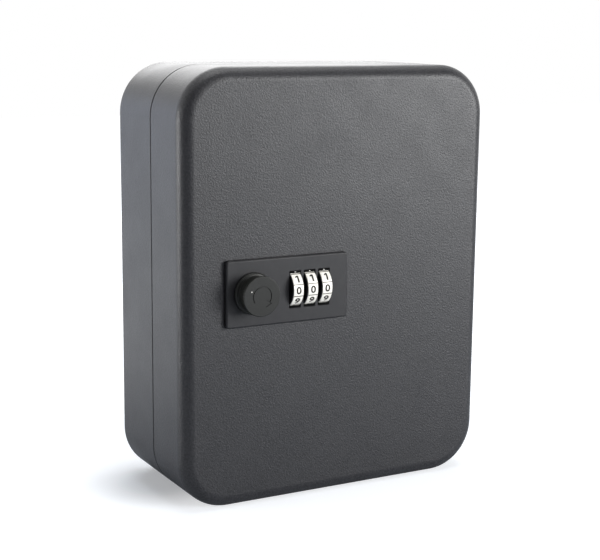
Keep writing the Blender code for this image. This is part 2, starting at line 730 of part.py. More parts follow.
def make_lock_case(door_axis):
    """The case behind the door: two bays either side of a rib, and the cover on its back."""
    outline = rounded_rectangle(CASE_WIDTH, CASE_HEIGHT, CASE_CORNER, PLATE_STEPS)
    centre = (PLATE_CENTRE_X, 0, 0)
    case = place(
        "lock_case", prism(outline, CASE_FRONT_Y, CASE_BACK_Y), "black_plastic", centre,
        parent=door_axis)
    inside_left = PLATE_CENTRE_X - CASE_WIDTH / 2 + CASE_WALL
    inside_right = PLATE_CENTRE_X + CASE_WIDTH / 2 - CASE_WALL
    rib_right = wheel_centres()[0] + DISC_OFFSET - DISC_WIDTH
    rib_left = rib_right - CASE_WALL
    low = CASE_FRONT_Y - CUT_OVERRUN
    high = CASE_BACK_Y + CUT_OVERRUN
    for name, left, right in (
            ("knob_bay", inside_left, rib_left), ("wheel_bay", rib_right, inside_right)):
        bay = rounded_rectangle(
            right - left, 2 * CASE_INSIDE_TOP, CASE_INNER_CORNER, PLATE_STEPS)
        cut(case, name, prism(bay, low, high), ((left + right) / 2, 0, 0))
    slot = rectangle(
        rib_left - CUT_OVERRUN, rib_right + CUT_OVERRUN,
        BAR_BOTTOM - BAR_SLOT_GAP, CASE_INSIDE_TOP - BAR_SLOT_GAP)
    cut(case, "bar_slot", prism(slot, low, high))
    axle_low = rib_left - CUT_OVERRUN
    axle_high = inside_right + CASE_WALL + CUT_OVERRUN
    tool = disc(AXLE_BORE, axle_low, axle_high, AXLE_STEPS, "X")
    cut(case, "axle_bore", tool, (0, WHEEL_AXIS_Y, 0))
    axle = turned([
        (0, rib_left), (AXLE_RADIUS, rib_left),
        (AXLE_RADIUS, inside_right + CASE_WALL), (0, inside_right + CASE_WALL),
    ], AXLE_STEPS, "X")
    place("wheel_axle", axle, "steel", (0, WHEEL_AXIS_Y, 0), parent=door_axis)
    make_case_cover(outline, centre, door_axis)


def make_case_cover(outline, centre, door_axis):
    """The cover, its four screws and the slot for the code-change slider."""
    cover = place(
        "case_cover", prism(outline, COVER_FRONT_Y, COVER_BACK_Y), "black_plastic", centre,
        parent=door_axis)
    low = COVER_FRONT_Y - CUT_OVERRUN
    high = COVER_BACK_Y + CUT_OVERRUN
    middle = (COVER_FRONT_Y + COVER_BACK_Y) / 2
    boss = disc(COVER_BOSS_RADIUS, middle, CAM_FRONT_Y - SEAT_GAP, SPINDLE_STEPS)
    fuse(cover, "cover_boss", boss, (KNOB_X, 0, 0))
    bore = disc(SPINDLE_BORE, low, CAM_FRONT_Y, SPINDLE_STEPS)
    cut(cover, "cover_bore", bore, (KNOB_X, 0, 0))
    half_slot = SLIDER_TRAVEL / 2 + SLIDER_WIDTH / 2 + SEAT_GAP
    half_neck = SLIDER_NECK / 2 + SEAT_GAP
    slot_x = SLIDER_X + SLIDER_TRAVEL / 2
    slot = rectangle(-half_slot, half_slot, -half_neck, half_neck)
    cut(cover, "slider_slot", prism(slot, low, high), (slot_x, 0, SLIDER_Z))
    head_front = COVER_BACK_Y + SEAT_GAP
    head_back = head_front + SCREW_HEAD_HEIGHT
    tip = head_front - SCREW_LENGTH
    profile = [
        (0, tip), (SCREW_RADIUS, tip), (SCREW_RADIUS, head_front),
        (SCREW_HEAD_RADIUS, head_front), (SCREW_HEAD_RADIUS, head_back), (0, head_back),
    ]
    slot_length = SCREW_HEAD_RADIUS + CUT_OVERRUN
    for index, (x, z) in enumerate(post_places()):
        tool = disc(SCREW_RADIUS + SEAT_GAP, low, high, POST_STEPS)
        cut(cover, f"screw_hole_{index + 1}", tool, (x, 0, z))
        screw = place(
            f"cover_screw_{index + 1}", turned(profile, POST_STEPS), "steel", (x, 0, z),
            parent=door_axis)
        outline = rectangle(
            -slot_length, slot_length, -SCREW_SLOT_WIDTH / 2, SCREW_SLOT_WIDTH / 2)
        groove = prism(outline, head_back - SCREW_SLOT_DEPTH, head_back + CUT_OVERRUN)
        cut(screw, f"screw_slot_{index + 1}", groove, (x, 0, z))


def make_slider(slider_axis):
    """The code-change slider: thumb behind the cover, neck in its slot and shoe inside."""
    front = COVER_FRONT_Y - SEAT_GAP
    back = COVER_BACK_Y + SEAT_GAP
    shoe = SLIDER_SHOE / 2
    neck = SLIDER_NECK / 2
    thumb = SLIDER_THUMB / 2
    shoe_front = front - SLIDER_SHOE_THICKNESS
    thumb_back = back + SLIDER_THUMB_THICKNESS
    outline = [
        (shoe_front, -shoe), (front, -shoe), (front, -neck), (back, -neck),
        (back, -thumb), (thumb_back, -thumb), (thumb_back, thumb), (back, thumb),
        (back, neck), (front, neck), (front, shoe), (shoe_front, shoe),
    ]
    builder = prism(outline, -SLIDER_WIDTH / 2, SLIDER_WIDTH / 2, "X")
    place("code_slider", builder, "red_plastic", (SLIDER_X, 0, SLIDER_Z), parent=slider_axis)


def code_disc_outline():
    """Outline of a code disc: a detent notch for every digit and one deep gate at the top."""
    points = []
    gate_half = math.asin(GATE_WIDTH / 2 / DISC_RADIUS)
    pitch = 2 * math.pi / DIGITS
    notch_half = pitch / 6
    for index in range(DIGITS):
        angle = math.pi / 2 + index * pitch
        half = gate_half if index == 0 else notch_half
        if index == 0:
            gate_radius = DISC_RADIUS - GATE_DEPTH
            inner_half = math.asin(GATE_WIDTH / 2 / gate_radius)
            turns = ((-half, DISC_RADIUS), (-inner_half, gate_radius),
                     (inner_half, gate_radius), (half, DISC_RADIUS))
        else:
            turns = ((-half, DISC_RADIUS), (0, DISC_RADIUS - DETENT_DEPTH), (half, DISC_RADIUS))
        for turn, radius in turns:
            points.append((radius * math.cos(angle + turn), radius * math.sin(angle + turn)))
        middle = angle + pitch / 2
        points.append((DISC_RADIUS * math.cos(middle), DISC_RADIUS * math.sin(middle)))
    return points


def make_wheels(door_axis):
    """Three number wheels, each a core, a metal band and a code disc, on their own axis."""
    half = CORE_WIDTH / 2
    core = ring_profile(AXLE_BORE, CORE_RADIUS, -half, half, CORE_EDGE)
    band_half = BAND_WIDTH / 2
    band = ring_profile(WHEEL_RADIUS - BAND_THICKNESS, WHEEL_RADIUS, -band_half, band_half)
    for index, x in enumerate(wheel_centres()):
        number = index + 1
        centre = (x, WHEEL_AXIS_Y, 0)
        axis = make_axis(f"wheel_axis_{number}", centre, door_axis)
        place(f"number_wheel_{number}", turned(core, WHEEL_STEPS, "X"),
              "black_wheel_plastic", centre, parent=axis)
        place(f"digit_band_{number}", turned(band, WHEEL_STEPS, "X"),
              "brushed_aluminium", centre, parent=axis)
        low = DISC_OFFSET - DISC_WIDTH / 2
        high = DISC_OFFSET + DISC_WIDTH / 2
        code_disc = place(
            f"code_disc_{number}", prism(code_disc_outline(), low, high, "X"),
            "black_wheel_plastic", centre, parent=axis)
        tool = disc(AXLE_BORE, low - CUT_OVERRUN, high + CUT_OVERRUN, AXLE_STEPS, "X")
        cut(code_disc, f"disc_bore_{number}", tool, centre)


def make_detent_spring(door_axis):
    """A leaf spring on the cover, with a finger for each code disc."""
    back = COVER_FRONT_Y - SEAT_GAP
    base_low = -CASE_INSIDE_TOP + SPRING_FLOOR_GAP
    base_high = base_low + SPRING_BASE_HEIGHT
    notch_angle = math.pi / 2 / (DIGITS / 2)
    tip_height = -DISC_RADIUS * math.sin(notch_angle)
    tip_reach = back - SPRING_THICKNESS - (WHEEL_AXIS_Y + DISC_RADIUS + SEAT_GAP)
    arms = []
    for x in wheel_centres():
        length = tip_height + SPRING_TIP_HEIGHT / 2 - base_high
        arms.append((x + DISC_OFFSET, SPRING_FINGER_WIDTH, 0, SPRING_THICKNESS, length))
    margin = SPRING_FINGER_WIDTH
    low_x = arms[0][0] - margin
    high_x = arms[-1][0] + margin
    builder = comb(
        low_x, high_x, 0, SPRING_BASE_HEIGHT, 0, SPRING_THICKNESS, arms,
        tip_reach, SPRING_TIP_HEIGHT)
    turn_up = Matrix.Rotation(math.pi / 2, 4, "X")
    bmesh.ops.transform(builder, matrix=turn_up, verts=builder.verts)
    place("detent_spring", builder, "spring_steel", (0, back, base_low), parent=door_axis)


def make_lock_bar(bar_axis):
    """The bar over the wheels: a tooth above each code disc's gate and a follower on the lobe."""
    length = BAR_BOTTOM - DISC_RADIUS - SEAT_GAP
    follower = BAR_BOTTOM - LOBE_BASE_RADIUS - SEAT_GAP
    half = BAR_THICKNESS / 2
    tooth = BAR_TOOTH_DEPTH / 2
    arms = [(KNOB_X, FOLLOWER_WIDTH, -tooth, tooth, follower)]
    for x in wheel_centres():
        arms.append((x + DISC_OFFSET, BAR_TOOTH_WIDTH, -tooth, tooth, length))
    low_x = KNOB_X - FOLLOWER_WIDTH / 2 - BAR_END
    high_x = arms[-1][0] + BAR_TOOTH_WIDTH / 2 + BAR_END
    builder = comb(
        low_x, high_x, -BAR_HEIGHT, 0, -half, half, arms, 0, BAR_HEIGHT)
    turn_down = Matrix.Rotation(-math.pi / 2, 4, "X")
    bmesh.ops.transform(builder, matrix=turn_down, verts=builder.verts)
    place("lock_bar", builder, "zinc_plated_steel", (0, WHEEL_AXIS_Y, BAR_BOTTOM), parent=bar_axis)


def knob_profile():
    """Section of the knob: a blind bore, a rounded base flange, a waist and a flat face."""
    bore_end = KNOB_BACK_Y - KNOB_BORE_DEPTH
    base_front = KNOB_BACK_Y - KNOB_BASE_HEIGHT
    face_back = KNOB_FACE_Y + KNOB_FACE_THICKNESS
    points = [(0, bore_end), (SPINDLE_BORE, bore_end), (SPINDLE_BORE, KNOB_BACK_Y)]
    points.append((KNOB_BASE_RADIUS, KNOB_BACK_Y))
    quarter = math.pi / 2
    centre = (KNOB_BASE_RADIUS - KNOB_BASE_ROUND, base_front + KNOB_BASE_ROUND)
    points += arc(centre, KNOB_BASE_ROUND, 0, -quarter, 4)
    points.append((KNOB_WAIST_RADIUS, base_front))
    flare = KNOB_FACE_RADIUS - KNOB_WAIST_RADIUS
    points.append((KNOB_WAIST_RADIUS, face_back + flare))
    points.append((KNOB_FACE_RADIUS, face_back))
    centre = (KNOB_FACE_RADIUS - KNOB_FACE_ROUND, KNOB_FACE_Y + KNOB_FACE_ROUND)
    points += arc(centre, KNOB_FACE_ROUND, 0, -quarter, 3)
    points.append((0, KNOB_FACE_Y))
    return points


def make_knob(knob_axis):
    """The knob, its spindle, the bar's lobe, the latch cam, its washer and its nut."""
    centre = (KNOB_X, 0, 0)
    place("knob", turned(knob_profile(), KNOB_STEPS), "black_plastic", centre, parent=knob_axis)
    front = KNOB_BACK_Y - KNOB_BORE_DEPTH + SEAT_GAP
    slim = SPINDLE_RADIUS - SPINDLE_CHAMFER
    spindle = turned([
        (0, front), (slim, front), (SPINDLE_RADIUS, front + SPINDLE_CHAMFER),
        (SPINDLE_RADIUS, SPINDLE_BACK_Y - SPINDLE_CHAMFER), (slim, SPINDLE_BACK_Y),
        (0, SPINDLE_BACK_Y),
    ], SPINDLE_STEPS)
    place("knob_spindle", spindle, "steel", centre, parent=knob_axis)

    lobe_low = WHEEL_AXIS_Y - BAR_THICKNESS / 2
    lobe_high = WHEEL_AXIS_Y + BAR_THICKNESS / 2
    outline = link_outline(LOBE_BASE_RADIUS, LOBE_NOSE_RADIUS, LOBE_NOSE_OFFSET, LINK_STEPS)
    outline = [(z, -x) for x, z in outline]
    lobe = place("bar_lobe", prism(outline, lobe_low, lobe_high), "steel", centre, parent=knob_axis)
    cut_spindle_bore(lobe, lobe_low, lobe_high)

    outline = link_outline(CAM_HUB_RADIUS, CAM_TIP_RADIUS, CAM_REACH, LINK_STEPS)
    cam = place("latch_cam", prism(outline, CAM_FRONT_Y, CAM_BACK_Y), "zinc_plated_steel", centre,
                parent=knob_axis)
    cut_spindle_bore(cam, CAM_FRONT_Y, CAM_BACK_Y)

    washer = ring_profile(SPINDLE_BORE, WASHER_RADIUS, WASHER_FRONT_Y, WASHER_BACK_Y)
    place("cam_washer", turned(washer, SPINDLE_STEPS), "steel", centre, parent=knob_axis)
    nut = place("cam_nut", disc(NUT_RADIUS, NUT_FRONT_Y, NUT_BACK_Y, NUT_SIDES), "steel", centre,
                parent=knob_axis)
    cut_spindle_bore(nut, NUT_FRONT_Y, NUT_BACK_Y)


def cut_spindle_bore(item, low, high):
    """Bores a piece of the knob for the spindle."""
    tool = disc(SPINDLE_BORE, low - CUT_OVERRUN, high + CUT_OVERRUN, SPINDLE_STEPS)
    cut(item, f"{item.name}_bore", tool, (KNOB_X, 0, 0))


def main():
    """Builds the whole cabinet."""
    clear_scene()
    make_body_shell()
    make_strike()
    door_axis = make_axis("door_axis", (HINGE_X, SEAM_Y, 0))
    make_door_shell(door_axis)
    for index, height in enumerate(hinge_heights()):
        make_hinge(index + 1, height, door_axis)
    make_racks(door_axis)
    make_lock_plate(door_axis)
    make_lock_case(door_axis)
    make_slider(make_axis("slider_axis", (SLIDER_X, COVER_BACK_Y, SLIDER_Z), door_axis))
    make_wheels(door_axis)
    make_detent_spring(door_axis)
    make_lock_bar(make_axis("bar_axis", (KNOB_X, WHEEL_AXIS_Y, BAR_BOTTOM), door_axis))
    make_knob(make_axis("knob_axis", (KNOB_X, KNOB_BACK_Y, 0), door_axis))


main()
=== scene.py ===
"""Key cabinet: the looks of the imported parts, built round them in their own frame."""

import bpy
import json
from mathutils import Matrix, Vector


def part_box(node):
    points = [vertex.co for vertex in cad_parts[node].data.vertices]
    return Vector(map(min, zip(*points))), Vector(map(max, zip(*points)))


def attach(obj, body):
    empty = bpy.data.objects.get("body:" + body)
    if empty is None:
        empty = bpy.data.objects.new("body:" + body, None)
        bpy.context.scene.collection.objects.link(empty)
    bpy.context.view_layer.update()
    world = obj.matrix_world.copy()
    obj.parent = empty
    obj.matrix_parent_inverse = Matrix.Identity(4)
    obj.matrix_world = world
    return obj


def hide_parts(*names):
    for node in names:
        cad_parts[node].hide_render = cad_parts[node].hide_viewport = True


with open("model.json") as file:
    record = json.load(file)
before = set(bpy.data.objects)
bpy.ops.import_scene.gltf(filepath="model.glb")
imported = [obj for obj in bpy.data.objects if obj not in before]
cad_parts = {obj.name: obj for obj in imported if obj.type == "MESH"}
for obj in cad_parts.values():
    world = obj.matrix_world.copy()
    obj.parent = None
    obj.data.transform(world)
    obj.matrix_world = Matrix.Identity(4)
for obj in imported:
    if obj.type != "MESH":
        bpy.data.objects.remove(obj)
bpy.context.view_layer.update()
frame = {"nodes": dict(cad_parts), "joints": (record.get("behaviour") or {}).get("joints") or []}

import json
import logging
import math
from dataclasses import dataclass
from enum import Enum

import bmesh
import bpy
from bmesh.types import BMesh, BMFace, BMVert
from bpy.types import ID, Material, Node, NodeSocket, NodeTree, Object
from mathutils import Matrix, Vector

Pair = tuple[float, float]
Triple = tuple[float, float, float]
Section = list[Pair]

LOG = logging.getLogger("key_cabinet")
QUARTER = math.pi / 2
FULL = 2 * math.pi
WELD = 1e-6
BROKEN_FROM = 50.0
# How figures are drawn, and how a one is known and given its flag, in parts of the font's size.
GLYPH_WEIGHT = 0.028
GLYPH_WIDTH = 1.15
GLYPH_STEPS = 6
BAR_LENGTH = 0.6
BAR_WIDTH = 0.17
FLAG = ((0, 0), (0, -0.15), (-0.15, -0.25), (-0.15, -0.11))


class Body(Enum):
    """The bodies that move on their own."""

    CABINET = "cabinet"
    DOOR = "door"
    KNOB = "knob"
    BAR = "bar"
    SLIDER = "slider"
    WHEEL_1 = "wheel_1"
    WHEEL_2 = "wheel_2"
    WHEEL_3 = "wheel_3"


WHEELS = (Body.WHEEL_1, Body.WHEEL_2, Body.WHEEL_3)


class Slot(Enum):
    """The record's material slots."""

    POWDER_COAT = "powder_coat"
    ZINC = "zinc_steel"
    STEEL = "steel"
    SPRING = "spring_steel"
    PLASTIC = "black_plastic"
    WHEEL = "wheel_plastic"
    ALUMINIUM = "aluminium"
    CARD = "card"
    RED = "red_plastic"


# Finishes


def linear(code: str) -> tuple[float, float, float, float]:
    """Turns an sRGB hex colour into linear numbers.

    Args:
        code: The colour as "#RRGGBB".

    Returns:
        Red, green, blue and an alpha of 1.
    """
    channels = []
    for start in (1, 3, 5):
        value = int(code[start:start + 2], 16) / 255
        channels.append(value / 12.92 if value <= 0.04045 else ((value + 0.055) / 1.055) ** 2.4)
    return (*channels, 1.0)


def add_node(tree: NodeTree, kind: str, settings: dict | None = None,
             values: dict | None = None, links: dict | None = None) -> Node:
    """Adds a node with its settings, socket values and incoming links.

    Args:
        tree: The tree that takes the node.
        kind: The node's type name.
        settings: Its properties by name.
        values: Its input values by name or number.
        links: The nodes or output sockets that feed its inputs.

    Returns:
        The new node.
    """
    made = tree.nodes.new(kind)
    for name, value in (settings or {}).items():
        setattr(made, name, value)
    for name, value in (values or {}).items():
        made.inputs[name].default_value = value
    for name, source in (links or {}).items():
        output = source.outputs[0] if isinstance(source, Node) else source
        tree.links.new(output, made.inputs[name])
    return made


def ramp(tree: NodeTree, value: Node | NodeSocket, *ends: float, eased: bool = False) -> Node:
    """Adds a node that maps a value from the first two ends to the last two."""
    settings = {"interpolation_type": "SMOOTHSTEP" if eased else "LINEAR"}
    values = dict(zip(("From Min", "From Max", "To Min", "To Max"), ends))
    return add_node(tree, "ShaderNodeMapRange", settings, values, {"Value": value})


def add_math(tree: NodeTree, operation: str, *values: Node | NodeSocket) -> Node:
    """Adds a node that works out one value from two."""
    return add_node(tree, "ShaderNodeMath", {"operation": operation},
                    links=dict(enumerate(values)))


@dataclass(frozen=True)
class Grain:
    """A noise pattern: its grain and relief in millimetres, and how long it is on each axis."""

    size: float
    detail: float = 2.0
    stretch: Triple = (1, 1, 1)
    depth: float = 0.0

    def draw(self, tree: NodeTree) -> Node:
        """Adds the noise node, on Object coordinates."""
        place = add_node(tree, "ShaderNodeTexCoord").outputs["Object"]
        scale = [1 / share for share in self.stretch]
        place = add_node(tree, "ShaderNodeMapping", values={"Scale": scale},
                         links={"Vector": place})
        values = {"Scale": 1000 / self.size, "Detail": self.detail, "Roughness": 0.55}
        return add_node(tree, "ShaderNodeTexNoise", values=values, links={"Vector": place})


@dataclass(frozen=True)
class Finish:
    """What every finish shares: two colours mixed by a pattern, uneven gloss and relief."""

    name: str
    shade: str
    colour: str
    roughness: float
    metallic: float = 0.0
    specular: float = 0.5
    tone: Grain = Grain(1.0)
    contrast: Pair = (0.3, 0.7)
    gloss: Pair = (0.0, 0.0)
    clouds: Grain | None = None
    relief: tuple[Grain, ...] = ()

    def make(self) -> Material:
        """Makes the material, with its shader's values set and its patterns linked."""
        material = bpy.data.materials.new(self.name)
        material.use_nodes = True
        tree = material.node_tree
        shader = tree.nodes["Principled BSDF"]
        shader.inputs["Roughness"].default_value = self.roughness
        shader.inputs["Metallic"].default_value = self.metallic
        shader.inputs["Specular IOR Level"].default_value = self.specular
        tone = self.tone.draw(tree)
        share = ramp(tree, tone, *self.contrast, 0, 1)
        mixed = add_node(tree, "ShaderNodeMix", {"data_type": "RGBA"},
                         {6: linear(self.shade), 7: linear(self.colour)}, {0: share})
        tree.links.new(mixed.outputs[2], shader.inputs["Base Color"])
        if any(self.gloss):
            rough = [self.roughness + change for change in self.gloss]
            clouds = self.clouds.draw(tree) if self.clouds else tone
            gloss = ramp(tree, clouds, *self.contrast, *rough)
            tree.links.new(gloss.outputs[0], shader.inputs["Roughness"])
        under = {}
        for grain in self.relief:
            bump = add_node(tree, "ShaderNodeBump", values={"Distance": grain.depth / 1000},
                            links={"Height": grain.draw(tree), **under})
            under = {"Normal": bump}
            tree.links.new(bump.outputs[0], shader.inputs["Normal"])
        return material


@dataclass(frozen=True)
class PowderCoat(Finish):
    """Polyester powder coat, sprayed and baked: a fine pebbled skin that breaks the light up."""

    tone: Grain = Grain(1.1, 3.0)
    gloss: Pair = (-0.03, 0.03)
    clouds: Grain = Grain(22.0)
    relief: tuple[Grain, ...] = (Grain(3.5, 1.0, depth=0.03), Grain(1.0, 3.0, depth=0.17))


@dataclass(frozen=True)
class MouldedPlastic(Finish):
    """ABS, injection moulded in a spark-eroded tool: satin, with a texture almost too fine."""

    tone: Grain = Grain(6.0, 3.0)
    gloss: Pair = (0.05, -0.04)
    relief: tuple[Grain, ...] = (Grain(0.35, depth=0.008),)


@dataclass(frozen=True)
class ZincPlate(Finish):
    """Cold-rolled steel, bright zinc plated: satin, with rolling lines and cloudy plating."""

    tone: Grain = Grain(5.0, 3.0)
    gloss: Pair = (-0.06, 0.08)
    relief: tuple[Grain, ...] = (Grain(0.25, 2.0, (60, 1, 1), 0.004),)


@dataclass(frozen=True)
class TurnedSteel(Finish):
    """Machined steel: bright, with fine tool marks and a thin film of oil that dulls it."""

    tone: Grain = Grain(2.5, 3.0)
    gloss: Pair = (0.1, -0.05)
    relief: tuple[Grain, ...] = (Grain(0.2, 2.0, (1, 1, 8), 0.003),)


@dataclass(frozen=True)
class BrushedBand(Finish):
    """Aluminium foil, brushed round the wheel: pale, with hair lines.

    The lines are drawn coarser than the real 0.03 mm so that they show.
    """

    tone: Grain = Grain(0.16, 3.0, (1, 90, 90))
    gloss: Pair = (-0.05, 0.08)
    relief: tuple[Grain, ...] = (Grain(0.16, 3.0, (1, 90, 90), 0.004),)


@dataclass(frozen=True)
class PrintedInk(Finish):
    """Pad-printed enamel ink: matt, thinned in small spots where it lies on the metal. The same
    matt finish also carries the painted shade of the window lips and the painted glint on the
    knob.
    """

    specular: float = 0.2
    tone: Grain = Grain(0.3)
    contrast: Pair = (0.55, 0.8)


@dataclass(frozen=True)
class Card(Finish):
    """Uncoated card stuck on the rack: matt, with short paper fibres."""

    tone: Grain = Grain(0.4, 3.0, (3, 1, 1))
    relief: tuple[Grain, ...] = (Grain(0.4, 3.0, (3, 1, 1), 0.01),)


class Palette:
    """The object's materials, one for each slot, and those that have no slot."""

    def __init__(self) -> None:
        """Makes every material."""
        finishes = {
            Slot.POWDER_COAT: PowderCoat("powder_coated_steel", "#1D1D20", "#313134", 0.4, 0, 0.4),
            Slot.ZINC: ZincPlate("zinc_plated_sheet", "#A9ACB0", "#C3C6CA", 0.36, 1),
            Slot.STEEL: TurnedSteel("machined_steel", "#8E8D8A", "#B4B3B0", 0.3, 1),
            Slot.SPRING: TurnedSteel("blued_spring_steel", "#50505A", "#6A6A72", 0.26, 1),
            Slot.PLASTIC: MouldedPlastic("moulded_abs", "#212124", "#272729", 0.42, 0, 0.3),
            Slot.WHEEL: MouldedPlastic("moulded_acetal", "#151517", "#1C1C1E", 0.32),
            Slot.ALUMINIUM: BrushedBand("brushed_aluminium", "#EEEADF", "#FFFDF7", 0.45, 0.12),
            Slot.CARD: Card("white_card", "#DAD7CE", "#EDEBE4", 0.85),
            Slot.RED: MouldedPlastic("red_abs", "#9F1E18", "#B3231C", 0.4),
        }
        self.slots = {slot: finish.make() for slot, finish in finishes.items()}
        self.knob = MouldedPlastic("moulded_knob_abs", "#1B1C1A", "#20211F", 0.4, 0, 0.28).make()
        self.ink = PrintedInk("black_print", "#1D1A17", "#4A443C", 0.6).make()
        self.line_ink = PrintedInk("grey_print", "#3A332A", "#4E463B", 0.6).make()
        # White matt for the printed index marks and for the knob's painted glint.
        self.white_print_and_glint = PrintedInk("white_print", "#F4F2EC", "#DEDBD4", 0.6, 0, 0.5).make()
        # Near-black matt for the window lips, which are painted shade.
        self.shade_black = PrintedInk("black_felt", "#0A0A0A", "#101010", 0.9, 0, 0.1).make()


# Shapes


def box_of(node: str) -> tuple[Vector, Vector, Vector, Vector]:
    """Gives the low and high corners of a CAD node's box, its middle and its size."""
    low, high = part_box(node)
    return low, high, (low + high) / 2, high - low


def linked(name: str, data: ID) -> Object:
    """Makes an object from its data and puts it in the scene."""
    made = bpy.data.objects.new(name, data)
    bpy.context.scene.collection.objects.link(made)
    return made


def moved(shape: BMesh, *place: float) -> BMesh:
    """Shifts a shape and returns it."""
    bmesh.ops.translate(shape, vec=place, verts=shape.verts)
    return shape


def swung(shape: BMesh, angle: float, axis: str) -> BMesh:
    """Turns a shape about an axis through the origin and returns it."""
    bmesh.ops.rotate(shape, matrix=Matrix.Rotation(angle, 3, axis), verts=shape.verts)
    return shape


def bevelled(shape: BMesh, geom: list, width: float, steps: int, affect: str = "EDGES") -> None:
    """Rounds a shape's edges or vertices."""
    bmesh.ops.bevel(shape, geom=geom, offset=width, segments=steps, profile=0.5, affect=affect,
                    material=-1)


def pulled(shape: BMesh, geom: list, step: tuple, keep: bool = False) -> list[BMVert]:
    """Extrudes faces.

    Args:
        shape: Their shape.
        geom: The faces, and their edges if the first faces go.
        step: How far they are pulled.
        keep: Whether the first faces stay behind.

    Returns:
        The new vertices.
    """
    grown = bmesh.ops.extrude_face_region(shape, geom=geom, use_keep_orig=keep)["geom"]
    ends = [item for item in grown if isinstance(item, BMVert)]
    bmesh.ops.translate(shape, vec=step, verts=ends)
    return ends


def thickened(shape: BMesh, *step: float) -> BMesh:
    """Extrudes flat faces into a closed solid and returns it."""
    pulled(shape, shape.faces[:], step, True)
    return shape


def foremost(shape: BMesh) -> BMFace:
    """Finds the face that lies furthest to the front."""
    return min(shape.faces, key=lambda face: face.calc_center_median().y)


def flat_panel(width: float, height: float, corner: float = 0.0, steps: int = 6) -> BMesh:
    """Makes one flat face in the XZ plane.

    Args:
        width: Its size along X.
        height: Its size along Z.
        corner: The radius of its corners.
        steps: The segments of each corner.

    Returns:
        A bmesh with that one face.
    """
    shape = bmesh.new()
    bmesh.ops.create_grid(shape, x_segments=1, y_segments=1, size=0.5)
    bmesh.ops.scale(shape, vec=(width, height, 1), verts=shape.verts)
    swung(shape, QUARTER, "X")
    if corner > 0:
        bevelled(shape, shape.verts[:], corner, steps, "VERTICES")
    return shape


def slab(width: float, height: float, start: float, end: float, corner: float = 0.0,
         steps: int = 6, fillets: tuple[float, ...] = (), fillet_steps: int = 5) -> BMesh:
    """Makes a slab between two planes of Y.

    Args:
        width: Its size along X.
        height: Its size along Z.
        start: Y of its first face.
        end: Y of its other face.
        corner: The radius of its corners.
        steps: The segments of each corner.
        fillets: The radii round its first and its other face.
        fillet_steps: The segments of each fillet.

    Returns:
        A closed bmesh about X = 0 and Z = 0.
    """
    shape = moved(flat_panel(width, height, corner, steps), 0, start, 0)
    thickened(shape, 0, end - start, 0)
    for y, radius in zip((start, end), fillets):
        if radius > 0:
            rim = [edge for edge in shape.edges
                   if all(abs(vertex.co.y - y) < WELD for vertex in edge.verts)]
            bevelled(shape, rim, radius, fillet_steps)
    return shape


def arc(centre: Pair, radius: float, start: float, end: float, steps: int) -> Section:
    """Lists the points of an arc, from one angle to another in radians."""
    angles = [start + (end - start) * step / steps for step in range(steps + 1)]
    return [(centre[0] + radius * math.cos(a), centre[1] + radius * math.sin(a)) for a in angles]


def turned(profile: Section, axis: str, steps: int) -> BMesh:
    """Spins a section into a solid.

    Args:
        profile: Points of radius and place, a closed ring unless it starts on the axis.
        axis: The letter of the axis, X or Y.
        steps: The steps of the full turn.

    Returns:
        A closed bmesh round that axis.
    """
    shape = bmesh.new()
    points = [shape.verts.new((radius, place, 0) if axis == "Y" else (place, 0, radius))
              for radius, place in profile]
    closing = points[:1] if profile[0][0] > 0 else []
    for pair in zip(points, points[1:] + closing):
        shape.edges.new(pair)
    direction = [letter == axis for letter in "XYZ"]
    bmesh.ops.spin(shape, geom=shape.verts[:] + shape.edges[:], cent=(0, 0, 0), axis=direction,
                   angle=FULL, steps=steps, use_merge=True)
    bmesh.ops.remove_doubles(shape, verts=shape.verts, dist=WELD)
    return shape


def mirrored(section: Section) -> Section:
    """Completes half a section with its mirror image along the axis."""
    return section + [(radius, -place) for radius, place in reversed(section)]


def joined(*shapes: BMesh) -> BMesh:
    """Puts several shapes into one, which takes their place."""
    whole = bmesh.new()
    mesh = bpy.data.meshes.new("joining")
    for shape in shapes:
        shape.to_mesh(mesh)
        shape.free()
        whole.from_mesh(mesh)
    bpy.data.meshes.remove(mesh)
    return whole


def placed(name: str, shape: BMesh, sharp: float = 35.0) -> Object:
    """Turns a shape into an object at the origin.

    Args:
        name: The piece's name.
        shape: Its bmesh, which is used up.
        sharp: The degrees past which an edge is shaded sharp.

    Returns:
        The new object.
    """
    bmesh.ops.remove_doubles(shape, verts=shape.verts, dist=WELD)
    bmesh.ops.recalc_face_normals(shape, faces=shape.faces)
    mesh = bpy.data.meshes.new(name)
    shape.to_mesh(mesh)
    shape.free()
    mesh.shade_smooth()
    mesh.set_sharp_from_angle(angle=math.radians(sharp))
    return linked(name, mesh)


def evaluated(piece: Object) -> BMesh:
    """Copies an object's shape with its modifiers or its lettering worked out."""
    graph = bpy.context.evaluated_depsgraph_get()
    mesh = bpy.data.meshes.new_from_object(piece.evaluated_get(graph))
    shape = bmesh.new()
    shape.from_mesh(mesh)
    bpy.data.meshes.remove(mesh)
    return shape


def carved(shape: BMesh, *tools: BMesh, operation: str = "DIFFERENCE") -> BMesh:
    """Applies exact Booleans together.

    Args:
        shape: The shape to work on, which is used up.
        tools: The shapes to work with, which are used up.
        operation: Blender's name of the Boolean.

    Returns:
        The resulting bmesh.
    """
    pieces = [placed("work", item) for item in (shape, *tools)]
    for cutter in pieces[1:]:
        modifier = pieces[0].modifiers.new("carve", "BOOLEAN")
        modifier.operation = operation
        modifier.solver = "EXACT"
        modifier.object = cutter
    result = evaluated(pieces[0])
    for used in [piece.data for piece in pieces]:
        bpy.data.meshes.remove(used)
    return result


